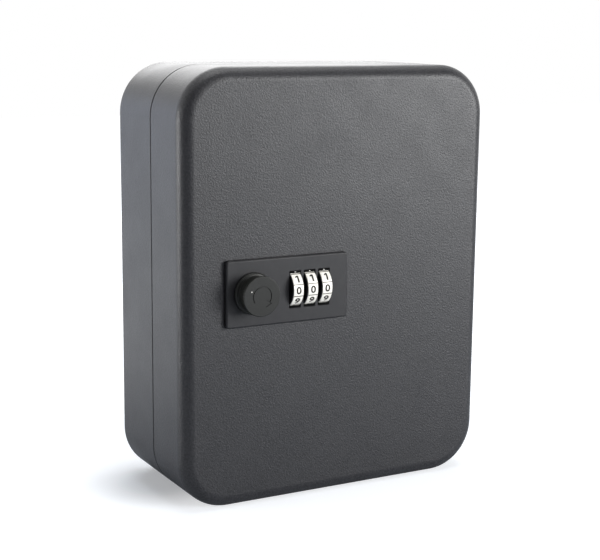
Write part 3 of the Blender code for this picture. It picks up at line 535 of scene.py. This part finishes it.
def glyph(text: str, height: float) -> BMesh:
    """Makes flat digits, facing -Y, centred on the origin.

    Args:
        text: The digits.
        height: Their height.

    Returns:
        A bmesh of flat faces.
    """
    curve = bpy.data.curves.new("digits", "FONT")
    curve.body = text
    curve.align_x = "CENTER"
    curve.align_y = "CENTER"
    curve.offset = GLYPH_WEIGHT
    curve.resolution_u = GLYPH_STEPS
    shape = evaluated(linked("digits", curve))
    bpy.data.curves.remove(curve)
    bmesh.ops.remove_doubles(shape, verts=shape.verts, dist=WELD)
    if "1" in text:
        add_flags(shape)
    xs, ys = ([vertex.co[axis] for vertex in shape.verts] for axis in (0, 1))
    moved(shape, -(min(xs) + max(xs)) / 2, -(min(ys) + max(ys)) / 2, 0)
    scale = height / (max(ys) - min(ys))
    bmesh.ops.scale(shape, vec=(scale * GLYPH_WIDTH, scale, scale), verts=shape.verts)
    return swung(shape, QUARTER, "X")


def add_flags(shape: BMesh) -> None:
    """Gives each figure one, a bare bar in the built-in font, the flag at its top."""
    sides = []
    for edge in shape.edges:
        start, end = (vertex.co for vertex in edge.verts)
        if abs(start.x - end.x) < WELD and abs(start.y - end.y) > BAR_LENGTH:
            sides.append((start.x, max(start.y, end.y)))
    sides.sort()
    for (left, top), (right, _) in zip(sides, sides[1:]):
        if right - left < BAR_WIDTH:
            shape.faces.new([shape.verts.new((left + x, top + y, 0)) for x, y in FLAG])


# Sub-assemblies


@dataclass
class SubAssembly:
    """What every sub-assembly shares: the materials, and how its pieces are handed over."""

    palette: Palette
    body: Body

    def dress(self, name: str, shape: BMesh, slot: Slot, *nodes: str,
              finish: Material | None = None, sharp: float = 30.0,
              edge: float | None = None) -> None:
        """Makes a finished shape into a piece and gives it to the frame.

        Args:
            name: The piece's name.
            shape: Its bmesh, which is used up.
            slot: The record's slot of its finish.
            nodes: The CAD nodes that it stands for.
            finish: Its material, where that isn't the slot's own.
            sharp: The degrees past which an edge is shaded sharp.
            edge: The width of its broken edges: 0 for even shading alone, None for neither.
        """
        piece = placed(name, shape, sharp)
        piece.data.materials.append(finish or self.palette.slots[slot])
        if edge:
            bevel = piece.modifiers.new("broken_edges", "BEVEL")
            bevel.width = edge
            bevel.segments = 2
            bevel.limit_method = "ANGLE"
            bevel.angle_limit = math.radians(BROKEN_FROM)
        if edge is not None:
            piece.modifiers.new("even_shading", "WEIGHTED_NORMAL").keep_sharp = True
        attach(piece, self.body.value)
        if nodes:
            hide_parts(*nodes)
        LOG.info("%s rides on %s", name, self.body.value)


@dataclass
class SteelPan(SubAssembly):
    """A pan drawn from one steel sheet, as both halves of the cabinet are."""

    node: str
    face_fillet: float
    sheet: float = 0.0012
    corner: float = 0.0295
    corner_steps: int = 28
    fillet_steps: int = 12
    rim_round: float = 0.0004
    flange: float = 0.0
    notch_reach: float = 0.0029
    notch_height: float = 0.04
    hinge_heights: Pair = (0.075, -0.075)
    overrun: float = 0.002

    def __post_init__(self) -> None:
        """Takes the pan's size and the planes of its face and rim from its CAD node."""
        low, high, _, self.size = box_of(self.node)
        back = self.body is Body.CABINET
        self.face_y, self.rim_y = (high.y, low.y) if back else (low.y, high.y)

    def layer(self, inset: float, start: float, end: float, *fillets: float) -> BMesh:
        """Makes a slab with the cabinet's outline drawn in by an inset."""
        return slab(self.size.x - 2 * inset, self.size.z - 2 * inset, start, end,
                    self.corner - inset, self.corner_steps, fillets, self.fillet_steps)

    def hollow(self) -> BMesh:
        """Makes the pan as a closed shell, with its rim flange where it has one."""
        inward = math.copysign(1, self.rim_y - self.face_y)
        past = inward * self.overrun
        floor = self.face_y + inward * self.sheet
        fillet = self.face_fillet - self.sheet
        hull = self.layer(0, self.face_y, self.rim_y, self.face_fillet, self.rim_round)
        if self.flange == 0:
            return carved(hull, self.layer(self.sheet, floor, self.rim_y + past, fillet))
        ceiling = self.rim_y - inward * self.sheet
        room = self.layer(self.sheet, floor, ceiling, fillet, self.rim_round)
        mouth = self.layer(self.sheet + self.flange, ceiling - past, self.rim_y + past)
        return carved(hull, room, mouth)

    def notches(self) -> list[BMesh]:
        """Makes the tools that open the rim round both hinges."""
        x, y, _ = frame["joints"][0]["pos_m"]
        reach = self.notch_reach
        return [moved(slab(2 * reach, self.notch_height, y - reach, y + reach), x, 0, height)
                for height in self.hinge_heights]

    def openings(self) -> list[BMesh]:
        """Makes the tools for the pan's other openings."""
        return []

    def build(self) -> None:
        """Builds the pan."""
        shape = carved(self.hollow(), *self.notches(), *self.openings())
        self.dress(f"{self.node}_coated", shape, Slot.POWDER_COAT, self.node, edge=0)


@dataclass
class BodyPan(SteelPan):
    """The back pan, with four holes for wall screws."""

    hole_radius: float = 0.003
    hole_edge: float = 0.0003
    hole_places: Pair = (0.07, 0.11)

    def openings(self) -> list[BMesh]:
        """Makes the tools for the wall-screw holes, with a broken edge on both sides."""
        radius, half, far = self.hole_radius, self.sheet / 2, self.hole_edge + self.overrun
        profile = mirrored([(0, half + far), (radius + far, half + far),
                            (radius, half - self.hole_edge)])
        x, z = self.hole_places
        return [moved(turned(profile, "Y", 32), side * x, -half, end * z)
                for side in (-1, 1) for end in (-1, 1)]


@dataclass
class DoorPan(SteelPan):
    """The front pan, with the cut-out that the lock sits in."""

    cutout_margin: Pair = (0.0066, 0.0042)
    cutout_corner: float = 0.002

    def openings(self) -> list[BMesh]:
        """Makes the tool for the lock's cut-out."""
        _, _, middle, size = box_of("lock_plate")
        across, along = self.cutout_margin
        tool = slab(size.x - 2 * across, size.z - 2 * along, self.face_y - self.overrun,
                    self.face_y + self.overrun, self.cutout_corner)
        return [moved(tool, middle.x, 0, 0)]


@dataclass
class LockPlate(SubAssembly):
    """The moulded plate on the door, with three wheel windows and the knob's hole."""

    corner: float = 0.002
    edge: float = 0.0011
    edge_steps: int = 6
    face_y: float = -0.093
    back_y: float = -0.0903
    overrun: float = 0.001
    window: Pair = (0.0072, 0.02124)
    window_corner: float = 0.0005
    window_flare: float = 0.0003
    bore: float = 0.0031
    post_radius: float = 0.0022
    post_edge: float = 0.0003
    post_root: float = 0.0004
    pilot_radius: float = 0.0012
    pilot_depth: float = 0.006
    lip_start: float = 0.00935
    lip_recess: float = 0.0001
    lip_thickness: float = 0.0003
    mark: Pair = (0.0007, 0.0004)
    mark_height: float = 0.00003

    def window_tool(self) -> BMesh:
        """Makes a tool with the window's outline, flared where it meets the plate's face."""
        tool = moved(flat_panel(*self.window, self.window_corner, 4), 0,
                     self.back_y + self.overrun, 0)
        spread = self.window_flare + self.overrun
        flare = [(size + 2 * spread) / size for size in self.window]
        for y, scale in ((self.face_y + self.window_flare, (1, 1)),
                         (self.face_y - self.overrun, flare)):
            front = foremost(tool)
            step = y - front.calc_center_median().y
            ring = pulled(tool, [front, *front.edges], (0, step, 0))
            bmesh.ops.scale(tool, vec=(scale[0], 1, scale[1]), verts=ring)
        return tool

    def lips(self, centre_x: float) -> tuple[BMesh, BMesh]:
        """Makes the black lips at a window's two ends, which are painted shade, and the index mark
        on the upper one.
        """
        front = self.face_y + self.lip_recess
        width, height = self.window
        tall = height / 2 - self.lip_start
        middle = self.lip_start + tall / 2
        pair = [moved(slab(width, tall, front, front + self.lip_thickness), centre_x, 0, z)
                for z in (middle, -middle)]
        mark = slab(*self.mark, front - self.mark_height, front)
        return joined(*pair), moved(mark, centre_x, 0, middle)

    def posts(self, end: float) -> list[BMesh]:
        """Makes the posts that the cover's screws go into, as far back as the given Y."""
        root, inner = self.back_y - self.post_root, end - self.pilot_depth
        section = [(0, root), (self.post_radius, root), (self.post_radius, end - self.post_edge),
                   (self.post_radius - self.post_edge, end), (self.pilot_radius, end),
                   (self.pilot_radius, inner), (0, inner)]
        made = []
        for number in (1, 2, 3, 4):
            middle = box_of(f"cover_screw_{number}")[2]
            made.append(moved(turned(section, "Y", 24), middle.x, 0, middle.z))
        return made

    def build(self) -> None:
        """Builds the plate with its posts, and the lips and marks of its windows."""
        _, high, middle, size = box_of("lock_plate")
        plate = slab(size.x, size.z, self.back_y, self.face_y, self.corner, 6, (0, self.edge),
                     self.edge_steps)
        places = [box_of(f"digit_band_{number}")[2].x for number in (1, 2, 3)]
        tools = [moved(self.window_tool(), x, 0, 0) for x in places]
        lips, marks = zip(*[self.lips(x) for x in places])
        # The black lips are painted shade: dark slabs where the band inside the window lies in
        # shadow.
        self.dress("window_dust_lips", joined(*lips), Slot.WHEEL, finish=self.palette.shade_black)
        self.dress("window_index_marks", joined(*marks), Slot.PLASTIC,
                   finish=self.palette.white_print_and_glint)
        back, front = self.back_y + self.overrun, self.face_y - self.overrun
        through = turned([(0, back), (self.bore, back), (self.bore, front), (0, front)], "Y", 32)
        tools.append(moved(through, box_of("knob")[2].x, 0, 0))
        plate = carved(moved(plate, middle.x, 0, 0), *tools)
        self.dress("lock_plate_moulded", joined(plate, *self.posts(high.y)), Slot.PLASTIC,
                   "lock_plate", edge=0)


@dataclass
class TurnKnob(SubAssembly):
    """The moulded knob: a rounded flange, a waist and a flat face with a sunk turning arrow."""

    base_radius: float = 0.012
    base_height: float = 0.002
    base_round: float = 0.00135
    waist_radius: float = 0.0102
    waist_fillet: float = 0.0004
    face_radius: float = 0.0114
    face_height: float = 0.0018
    face_round: float = 0.0005
    edge: float = 0.0002
    bore: float = 0.0031
    bore_depth: float = 0.004
    arrow_radius: float = 0.0056
    arrow_sweep: float = math.radians(250)
    groove: float = 0.0008
    groove_depth: float = 0.0004
    head: float = 0.0025
    head_turn: float = math.radians(35)
    glint_dot: float = 0.00032
    glint_dot_place: Pair = (-0.0064, 0.0031)
    glint_dot_height: float = 0.00003

    def section(self, back: float, face: float) -> Section:
        """Draws half the knob's section, from its bore round to the middle of its face."""
        floor, base = back - self.bore_depth, back - self.base_height
        under, edge = face + self.face_height, self.edge
        rim = (self.base_radius - self.base_round, base + self.base_round)
        waist = (self.waist_radius + self.waist_fillet, base - self.waist_fillet)
        brim = (self.face_radius - self.face_round, face + self.face_round)
        return [(0, floor), (self.bore, floor), (self.bore, back),
                (self.base_radius - edge, back), (self.base_radius, back - edge),
                *arc(rim, self.base_round, 0, -QUARTER, 8),
                *arc(waist, self.waist_fillet, QUARTER, math.pi, 5),
                (self.waist_radius, under + self.face_radius - self.waist_radius),
                (self.face_radius - edge, under + edge), (self.face_radius, under - edge),
                *arc(brim, self.face_round, 0, -QUARTER, 6), (0, face)]

    def arrow(self, face: float) -> list[BMesh]:
        """Makes the tools that sink a turning arrow into the face."""
        half, deep = self.groove / 2, self.groove_depth
        ring = bmesh.new()
        section = ring.faces.new([
            ring.verts.new((self.arrow_radius + across, face + along, 0))
            for across, along in ((-half, deep), (half, deep), (half, -deep), (-half, -deep))])
        bmesh.ops.spin(ring, geom=[section, *section.edges, *section.verts], cent=(0, 0, 0),
                       axis=(0, 1, 0), angle=self.arrow_sweep, steps=50)
        bmesh.ops.holes_fill(ring, edges=ring.edges)
        swung(ring, FULL - self.arrow_sweep + self.head_turn, "Y")
        tip = bmesh.new()
        bmesh.ops.create_cone(tip, cap_ends=True, segments=3, radius1=self.head,
                              radius2=self.head, depth=2 * deep)
        swung(swung(tip, QUARTER, "X"), math.pi + self.head_turn, "Y")
        moved(tip, self.arrow_radius * math.cos(self.head_turn) - self.head / 3, face,
              -self.arrow_radius * math.sin(self.head_turn) - self.head / 3)
        return [ring, tip]

    def build(self) -> None:
        """Builds the knob, and a small round white dot on its face that is a painted glint."""
        low, high, centre, _ = box_of("knob")
        face = low.y + self.glint_dot_height
        knob = turned(self.section(high.y, face), "Y", 96)
        for tool in self.arrow(face):
            knob = carved(knob, tool)
        self.dress("knob_moulded", moved(knob, centre.x, 0, centre.z), Slot.PLASTIC, "knob",
                   finish=self.palette.knob, edge=0)
        # The white dot is a painted glint, set where a bright speck of light shows on the face.
        glint_dot = turned([(0, face), (self.glint_dot, face), (self.glint_dot, low.y), (0, low.y)], "Y", 24)
        across, along = self.glint_dot_place
        self.dress("knob_pip", moved(glint_dot, centre.x + across, 0, centre.z + along), Slot.PLASTIC,
                   finish=self.palette.white_print_and_glint)


@dataclass
class NumberWheel(SubAssembly):
    """A number wheel: its moulded core, its brushed band, and the figures printed on it."""

    number: int
    digits: int = 10
    figure_height: float = 0.0043
    line_height: float = 0.00045
    ink_height: float = 0.00003
    steps: int = 100
    row: float = 0.0004
    bore: float = 0.0013
    hub: float = 0.0029
    web: float = 0.0004
    rim: float = 0.0016
    edge: float = 0.0003
    band: float = 0.0005
    band_edge: float = 0.0001

    def core(self, radius: float, half: float) -> BMesh:
        """Makes the core: a bored disc whose sides are sunk a little between hub and rim."""
        inner, edge = radius - self.rim, self.edge
        return turned(mirrored([
            (self.bore, -half), (self.hub, -half), (self.hub + edge, self.web - half),
            (inner - edge, self.web - half), (inner, -half), (radius - edge, -half),
            (radius, edge - half)]), "X", self.steps)

    def wrapped(self, shape: BMesh, centre: Vector, radius: float, height: float) -> BMesh:
        """Lays flat print round the wheel.

        Args:
            shape: Flat faces, with Z as the way round and 0 at the front.
            centre: The wheel's centre.
            radius: The band's radius.
            height: How far the ink reaches out of the band and into it.

        Returns:
            A closed bmesh of thin ink.
        """
        heights = [vertex.co.z for vertex in shape.verts]
        low, tall = min(heights), max(heights) - min(heights)
        rows = math.ceil(tall / self.row)
        for step in range(1, rows):
            bmesh.ops.bisect_plane(shape, geom=[*shape.verts, *shape.edges, *shape.faces],
                                   plane_co=(0, 0, low + tall * step / rows), plane_no=(0, 0, 1))
        moved(thickened(shape, 0, -2 * height, 0), 0, height, 0)
        for vertex in shape.verts:
            angle = vertex.co.z / radius
            reach = radius - vertex.co.y
            vertex.co = centre + Vector((vertex.co.x, -reach * math.cos(angle),
                                         reach * math.sin(angle)))
        return shape

    def build(self) -> None:
        """Builds the core, the band, the figures and the lines between them."""
        node = f"number_wheel_{self.number}"
        _, _, centre, size = box_of(node)
        core = self.core(size.z / 2, size.x / 2)
        self.dress(f"wheel_core_{self.number}", moved(core, *centre), Slot.WHEEL, node)
        node = f"digit_band_{self.number}"
        size = box_of(node)[3]
        radius, half, edge = size.z / 2, size.x / 2, self.band_edge
        band = turned(mirrored([(radius - self.band, -half), (radius - edge, -half),
                                (radius, edge - half)]), "X", self.steps)
        self.dress(f"wheel_band_{self.number}", moved(band, *centre), Slot.ALUMINIUM, node)
        pitch = FULL * radius / self.digits
        figures, lines = [], []
        for digit in range(self.digits):
            figure = moved(glyph(str(digit), self.figure_height), 0, 0, digit * pitch)
            figures.append(self.wrapped(figure, centre, radius, self.ink_height))
            line = flat_panel(2 * (half - edge), self.line_height)
            moved(line, 0, 0, digit * pitch + pitch / 2)
            lines.append(self.wrapped(line, centre, radius, self.ink_height / 2))
        for name, shapes, ink in (("figures", figures, self.palette.ink),
                                  ("lines", lines, self.palette.line_ink)):
            self.dress(f"wheel_{name}_{self.number}", joined(*shapes), Slot.ALUMINIUM,
                       finish=ink, sharp=50)


@dataclass
class HookRack(SubAssembly):
    """A pressed steel rack of hooks with a numbered card strip."""

    node: str
    label: str
    hooks: int
    first_number: int
    strip: float = 0.001
    corner: float = 0.0015
    end_margin: float = 0.0075
    hook_width: float = 0.003
    hook_thickness: float = 0.0012
    hook_drop: float = 0.001
    hook_rise: float = 0.0055
    bend: float = 0.0008
    tip_round: float = 0.0014
    broken_edge: float = 0.00015
    card_corner: float = 0.0006
    figure_height: float = 0.0027
    ink_height: float = 0.00004

    def facing_turn(self) -> float:
        """Gives the turn that points the hooks out of this half of the cabinet."""
        return math.pi if self.body is Body.DOOR else 0.0

    def hook_places(self, width: float) -> list[float]:
        """Lists the hooks' middles along the rack, from its own left to its right."""
        first = self.end_margin - width / 2
        pitch = -2 * first / (self.hooks - 1)
        return [first + index * pitch for index in range(self.hooks)]

    def hook(self, centre: float, low: float, high: float, reach: float) -> BMesh:
        """Bends one hook out of the strip's face.

        Args:
            centre: Its middle along X.
            low: The lower side of its arm.
            high: The top of its tip.
            reach: How far it stands from the strip's back.

        Returns:
            A closed bmesh with its root inside the strip.
        """
        shape = moved(flat_panel(self.hook_width, self.hook_thickness), centre, -self.strip / 2,
                      low + self.hook_thickness / 2)
        outer = self.bend + self.hook_thickness
        front = foremost(thickened(shape, 0, outer + self.strip / 2 - reach, 0))
        bmesh.ops.spin(shape, geom=[front, *front.edges, *front.verts],
                       cent=(centre, outer - reach, low + outer), axis=(-1, 0, 0),
                       angle=QUARTER, steps=6)
        top = max(shape.faces, key=lambda face: face.calc_center_median().z)
        pulled(shape, [top, *top.edges], (0, 0, high - low - outer))
        ends = [edge for edge in shape.edges
                if all(abs(vertex.co.z - high) < WELD for vertex in edge.verts)
                and abs(edge.verts[0].co.x - edge.verts[1].co.x) < WELD]
        bevelled(shape, ends, self.tip_round, 5)
        return shape

    def build(self) -> None:
        """Builds the rack, its card and the numbers on the card."""
        low, high, middle, size = box_of(self.node)
        back = low.y if self.body is Body.DOOR else high.y
        strip = slab(size.x, size.z, 0, -self.strip, self.corner, 5)
        arm = self.hook_drop - size.z / 2
        tip = arm + self.hook_thickness + self.hook_rise
        hooks = [self.hook(x, arm, tip, size.y) for x in self.hook_places(size.x)]
        rack = swung(joined(strip, *hooks), self.facing_turn(), "Z")
        self.dress(f"{self.node}_pressed", moved(rack, middle.x, back, middle.z), Slot.ZINC,
                   self.node, edge=self.broken_edge)
        self.card(size.x, middle.x)

    def card(self, width: float, centre_x: float) -> None:
        """Builds the card strip with its numbers, one over each hook."""
        low, high, middle, size = box_of(self.label)
        face = high.y if self.body is Body.DOOR else low.y
        card = slab(size.x, size.z, low.y, high.y, self.card_corner, 3)
        self.dress(f"{self.label}_card", moved(card, middle.x, 0, middle.z), Slot.CARD,
                   self.label)
        numbers = []
        for index, x in enumerate(self.hook_places(width)):
            figure = glyph(str(self.first_number + index), self.figure_height)
            thickened(figure, 0, -2 * self.ink_height, 0)
            numbers.append(moved(figure, x, self.ink_height, 0))
        numbers = swung(joined(*numbers), self.facing_turn(), "Z")
        self.dress(f"{self.label}_numbers", moved(numbers, centre_x, face, middle.z),
                   Slot.CARD, finish=self.palette.ink, sharp=50)


@dataclass
class CoverScrew(SubAssembly):
    """A slotted pan-head screw through the case cover."""

    number: int
    shank: float = 0.0011
    point: Pair = (0.0004, 0.0006)
    head: float = 0.0021
    head_height: float = 0.0012
    head_round: float = 0.0006
    seat_edge: float = 0.0001
    slot_width: float = 0.0006
    slot_depth: float = 0.0005
    slot_turn: float = math.radians(37)

    def build(self) -> None:
        """Builds the screw, each with its slot at another angle."""
        node = f"cover_screw_{self.number}"
        low, high, centre, _ = box_of(node)
        seat, round_over = high.y - self.head_height, self.head_round
        section = [(0, low.y), (self.shank - self.point[0], low.y),
                   (self.shank, low.y + self.point[1]), (self.shank, seat),
                   (self.head - self.seat_edge, seat), (self.head, seat + self.seat_edge),
                   *arc((self.head - round_over, high.y - round_over), round_over, 0, QUARTER, 6),
                   (0, high.y)]
        groove = slab(4 * self.head, self.slot_width, high.y - self.slot_depth, high.y + 0.001)
        swung(groove, self.number * self.slot_turn, "Y")
        screw = carved(turned(section, "Y", 32), groove)
        self.dress(f"{node}_slotted", moved(screw, centre.x, 0, centre.z), Slot.STEEL, node)


@dataclass
class CamNut(SubAssembly):
    """The hexagon nut that holds the latch cam on its spindle, with chamfered corners."""

    bore: float = 0.0031
    countersink: float = 0.0013
    corner_cut: float = 0.0005
    slope: float = 0.6
    clearance: float = 0.0001
    overrun: float = 0.001

    def build(self) -> None:
        """Builds the nut."""
        _, _, centre, size = box_of("cam_nut")
        radius, half, over = size.x / 2, size.y / 2, size.y / 2 + self.overrun
        hexagon = bmesh.new()
        bmesh.ops.create_circle(hexagon, cap_ends=True, segments=6, radius=radius)
        swung(swung(hexagon, QUARTER, "Z"), QUARTER, "X")
        thickened(moved(hexagon, 0, -half, 0), 0, size.y, 0)
        cone = turned(mirrored([
            (0, -half), (radius - self.corner_cut, -half),
            (radius + self.clearance, self.corner_cut * self.slope - half)]), "Y", 48)
        bore = turned(mirrored([(0, -over), (self.bore + self.countersink, -over),
                                (self.bore, self.countersink - over)]), "Y", 32)
        nut = carved(carved(hexagon, cone, operation="INTERSECT"), bore)
        self.dress("cam_nut_hexagon", moved(nut, *centre), Slot.STEEL, "cam_nut")


@dataclass
class Hardware(SubAssembly):
    """A small part whose CAD shape is right, merged into whole faces with its edges broken."""

    node: str
    slot: Slot = Slot.STEEL
    edge: float = 0.0001

    def build(self) -> None:
        """Builds the part."""
        shape = bmesh.new()
        shape.from_mesh(frame["nodes"][self.node].data)
        bmesh.ops.remove_doubles(shape, verts=shape.verts, dist=WELD)
        bmesh.ops.dissolve_limit(shape, angle_limit=math.radians(0.5), verts=shape.verts,
                                 edges=shape.edges)
        self.dress(f"{self.node}_finished", shape, self.slot, self.node, sharp=35,
                   edge=self.edge)


def small_parts(palette: Palette) -> list[Hardware]:
    """Lists the small parts that only need their edges broken."""
    parts = [
        (Body.CABINET, "strike_bracket", Slot.ZINC, 0.0002),
        (Body.DOOR, "lock_case", Slot.PLASTIC, 0.0003),
        (Body.DOOR, "case_cover", Slot.PLASTIC, 0.0003),
        (Body.DOOR, "wheel_axle"),
        (Body.DOOR, "detent_spring", Slot.SPRING, 0.00005),
        (Body.BAR, "lock_bar", Slot.ZINC),
        (Body.SLIDER, "code_slider", Slot.RED, 0.0002),
        (Body.KNOB, "knob_spindle"),
        (Body.KNOB, "bar_lobe"),
        (Body.KNOB, "latch_cam", Slot.ZINC, 0.0002),
        (Body.KNOB, "cam_washer"),
    ]
    for number in (1, 2):
        parts += [(Body.CABINET, f"body_hinge_leaf_{number}"),
                  (Body.DOOR, f"door_hinge_leaf_{number}"),
                  (Body.CABINET, f"hinge_pin_{number}")]
    for number, wheel in enumerate(WHEELS, 1):
        parts.append((wheel, f"code_disc_{number}", Slot.WHEEL, 0.00005))
    return [Hardware(palette, *part) for part in parts]


# Camera and studio


@dataclass(frozen=True)
class PhotoCamera:
    """The camera at the photograph's viewing angle."""

    place: Triple = (-0.395172, -0.754887, 0.148515)
    yaw: float = 0.506291
    pitch: float = 0.187262
    roll: float = 0.010125
    lens: float = 81.407
    sensor: float = 36.0

    def build(self) -> None:
        """Makes the camera and sets it as the scene's own."""
        data = bpy.data.cameras.new("photo_camera")
        data.lens = self.lens
        data.sensor_width = self.sensor
        data.clip_start = 0.01
        camera = linked("photo_camera", data)
        turn = (Matrix.Rotation(-self.yaw, 4, "Z") @ Matrix.Rotation(QUARTER - self.pitch, 4, "X")
                @ Matrix.Rotation(self.roll, 4, "Z"))
        camera.matrix_world = Matrix.Translation(self.place) @ turn
        bpy.context.scene.camera = camera


@dataclass(frozen=True)
class Softbox:
    """A square lamp with a soft front, aimed at a point."""

    name: str
    place: Triple
    size: float
    radiance: float
    colour: str = "#FFFFFF"
    target: Triple = (0.0, -0.05, 0.0)

    def build(self) -> None:
        """Makes the lamp, with its power worked out from its radiance and size."""
        data = bpy.data.lights.new(self.name, "AREA")
        data.shape = "SQUARE"
        data.size = self.size
        data.energy = math.pi * self.size ** 2 * self.radiance
        data.color = linear(self.colour)[:3]
        lamp = linked(self.name, data)
        lamp.visible_camera = False
        aim = Vector(self.target) - Vector(self.place)
        lamp.matrix_world = (Matrix.Translation(self.place)
                             @ aim.to_track_quat("-Z", "Y").to_matrix().to_4x4())


@dataclass
class Studio:
    """A pale floor under the cabinet, a white surround and soft lamps."""

    floor_size: float = 6.0
    floor_colour: str = "#CDD3DB"
    floor_lift: float = 0.3
    floor_light: float = 0.62
    floor_gloss: float = 0.8
    # Where the floor's glow is turned down: a painted shadow beside the cabinet's left bottom
    # corner.
    painted_shadow_place: Pair = (-0.088, -0.028)
    painted_shadow_reach: Pair = (0.012, 0.054)
    fade_reach: Pair = (0.18, 0.5)
    gloss_reach: Pair = (0.0, 0.35)
    front_reach: Pair = (-0.75, 0.35)
    front_dark: float = 0.05
    back_light: float = 1.25
    ambient: float = 0.12
    lamps: tuple[Softbox, ...] = (
        Softbox("key_softbox", (1.66, -1.93, 0.35), 1.1, 17.0),
        Softbox("front_softbox", (0.55, -2.3, 0.15), 0.9, 2.4),
        Softbox("fill_softbox", (0.45, -2.1, 1.05), 1.4, 1.4),
        Softbox("over_softbox", (0.1, -0.1, 1.6), 1.00, 3.8),
        Softbox("left_softbox", (-1.1, 0.3, 0.0), 0.42, 15.0),
        Softbox("side_softbox", (-0.85, 1.45, 0.0), 1.00, 0.8, "#B8D0FF"),
        Softbox("back_softbox", (0.4, 1.3, 0.85), 1.1, 3.0),
    )

    def along_y(self, tree: NodeTree, place: NodeSocket, *ends: float) -> Node:
        """Adds an eased ramp along Y: where it starts and ends, and its two values."""
        axes = add_node(tree, "ShaderNodeSeparateXYZ", links={"Vector": place})
        return ramp(tree, axes.outputs["Y"], *ends, eased=True)

    def rays(self, tree: NodeTree) -> tuple[Node, NodeSocket]:
        """Gives 1 for rays that see the stage itself, camera and transmission, then glossy."""
        kinds = add_node(tree, "ShaderNodeLightPath").outputs
        seen = add_math(tree, "MAXIMUM", kinds["Is Camera Ray"], kinds["Is Transmission Ray"])
        return seen, kinds["Is Glossy Ray"]

    def surround(self) -> None:
        """Makes the world: white to the camera, with a darker front in what metal reflects."""
        world = bpy.data.worlds.new("white_surround")
        bpy.context.scene.world = world
        world.use_nodes = True
        tree = world.node_tree
        seen, glossy = self.rays(tree)
        direction = add_node(tree, "ShaderNodeTexCoord").outputs["Generated"]
        side = self.along_y(tree, direction, *self.front_reach, self.front_dark, self.back_light)
        plain = add_node(tree, "ShaderNodeMix", None, {2: self.ambient}, {0: glossy, 3: side})
        level = add_node(tree, "ShaderNodeMix", None, {3: 1.0}, {0: seen, 2: plain})
        background = tree.nodes["Background"]
        background.inputs["Color"].default_value = (1, 1, 1, 1)
        tree.links.new(level.outputs[0], background.inputs["Strength"])

    def floor(self) -> None:
        """Makes the floor. It keeps the cabinet's shadow, glows less round a painted shadow beside
        the cabinet's left bottom corner, and fades to white further off.
        """
        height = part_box("body_shell")[0].z
        shape = bmesh.new()
        bmesh.ops.create_grid(shape, x_segments=1, y_segments=1, size=self.floor_size / 2)
        plane = placed("studio_floor", moved(shape, 0, 0, height))
        material = bpy.data.materials.new("pale_floor")
        material.use_nodes = True
        tree = material.node_tree
        tree.nodes.remove(tree.nodes["Principled BSDF"])
        place = add_node(tree, "ShaderNodeTexCoord").outputs["Object"]
        from_painted_shadow = add_node(tree, "ShaderNodeVectorMath", {"operation": "SUBTRACT"},
                              {1: (*self.painted_shadow_place, height)}, {0: place})
        far = add_node(tree, "ShaderNodeVectorMath", {"operation": "LENGTH"},
                       links={0: from_painted_shadow}).outputs["Value"]
        # The glow is lowest in the painted shadow's middle and rises to the floor's level past its
        # reach.
        lift = ramp(tree, far, *self.painted_shadow_reach, self.floor_lift, self.floor_light, eased=True)
        beyond = ramp(tree, far, *self.fade_reach, 0, 1 - self.floor_light, eased=True)
        seen, glossy = self.rays(tree)
        direct = add_math(tree, "MULTIPLY", seen, add_math(tree, "ADD", lift, beyond))
        behind = self.along_y(tree, place, *self.gloss_reach, 0, self.floor_gloss)
        strength = add_math(tree, "ADD", direct, add_math(tree, "MULTIPLY", glossy, behind))
        matt = add_node(tree, "ShaderNodeBsdfDiffuse", None, {"Color": linear(self.floor_colour)})
        glow = add_node(tree, "ShaderNodeEmission", links={"Strength": strength})
        added = add_node(tree, "ShaderNodeAddShader", links={0: matt, 1: glow})
        tree.links.new(added.outputs[0], tree.nodes["Material Output"].inputs["Surface"])
        plane.data.materials.append(material)

    def build(self) -> None:
        """Makes the whole stage."""
        bpy.context.scene.view_settings.view_transform = "Standard"
        self.surround()
        self.floor()
        for lamp in self.lamps:
            lamp.build()


@dataclass
class KeyCabinet:
    """The whole key cabinet, from its pans to its smallest parts."""

    palette: Palette
    body_hooks: int = 7
    door_hooks: int = 5
    rows: int = 4

    def racks(self) -> list[HookRack]:
        """Lists the racks with their numbers, which run on from the body to the door."""
        made, number = [], 1
        for body, half, hooks in ((Body.CABINET, "body", self.body_hooks),
                                  (Body.DOOR, "door", self.door_hooks)):
            for row in range(1, self.rows + 1):
                made.append(HookRack(self.palette, body, f"{half}_hook_rack_{row}",
                                     f"{half}_label_{row}", hooks, number))
                number += hooks
        return made

    def build(self) -> None:
        """Builds every sub-assembly in order."""
        palette = self.palette
        parts = [BodyPan(palette, Body.CABINET, "body_shell", 0.003, flange=0.008),
                 DoorPan(palette, Body.DOOR, "door_shell", 0.008),
                 LockPlate(palette, Body.DOOR), TurnKnob(palette, Body.KNOB)]
        parts += [NumberWheel(palette, wheel, number) for number, wheel in enumerate(WHEELS, 1)]
        parts += self.racks()
        parts += [CoverScrew(palette, Body.DOOR, number) for number in (1, 2, 3, 4)]
        for part in [*parts, CamNut(palette, Body.KNOB), *small_parts(palette)]:
            part.build()


def main() -> None:
    """Builds the camera, the stage and the cabinet."""
    logging.basicConfig(level=logging.INFO, format="%(message)s")
    PhotoCamera().build()
    Studio().build()
    KeyCabinet(Palette()).build()


if __name__ == "__main__":
    main()
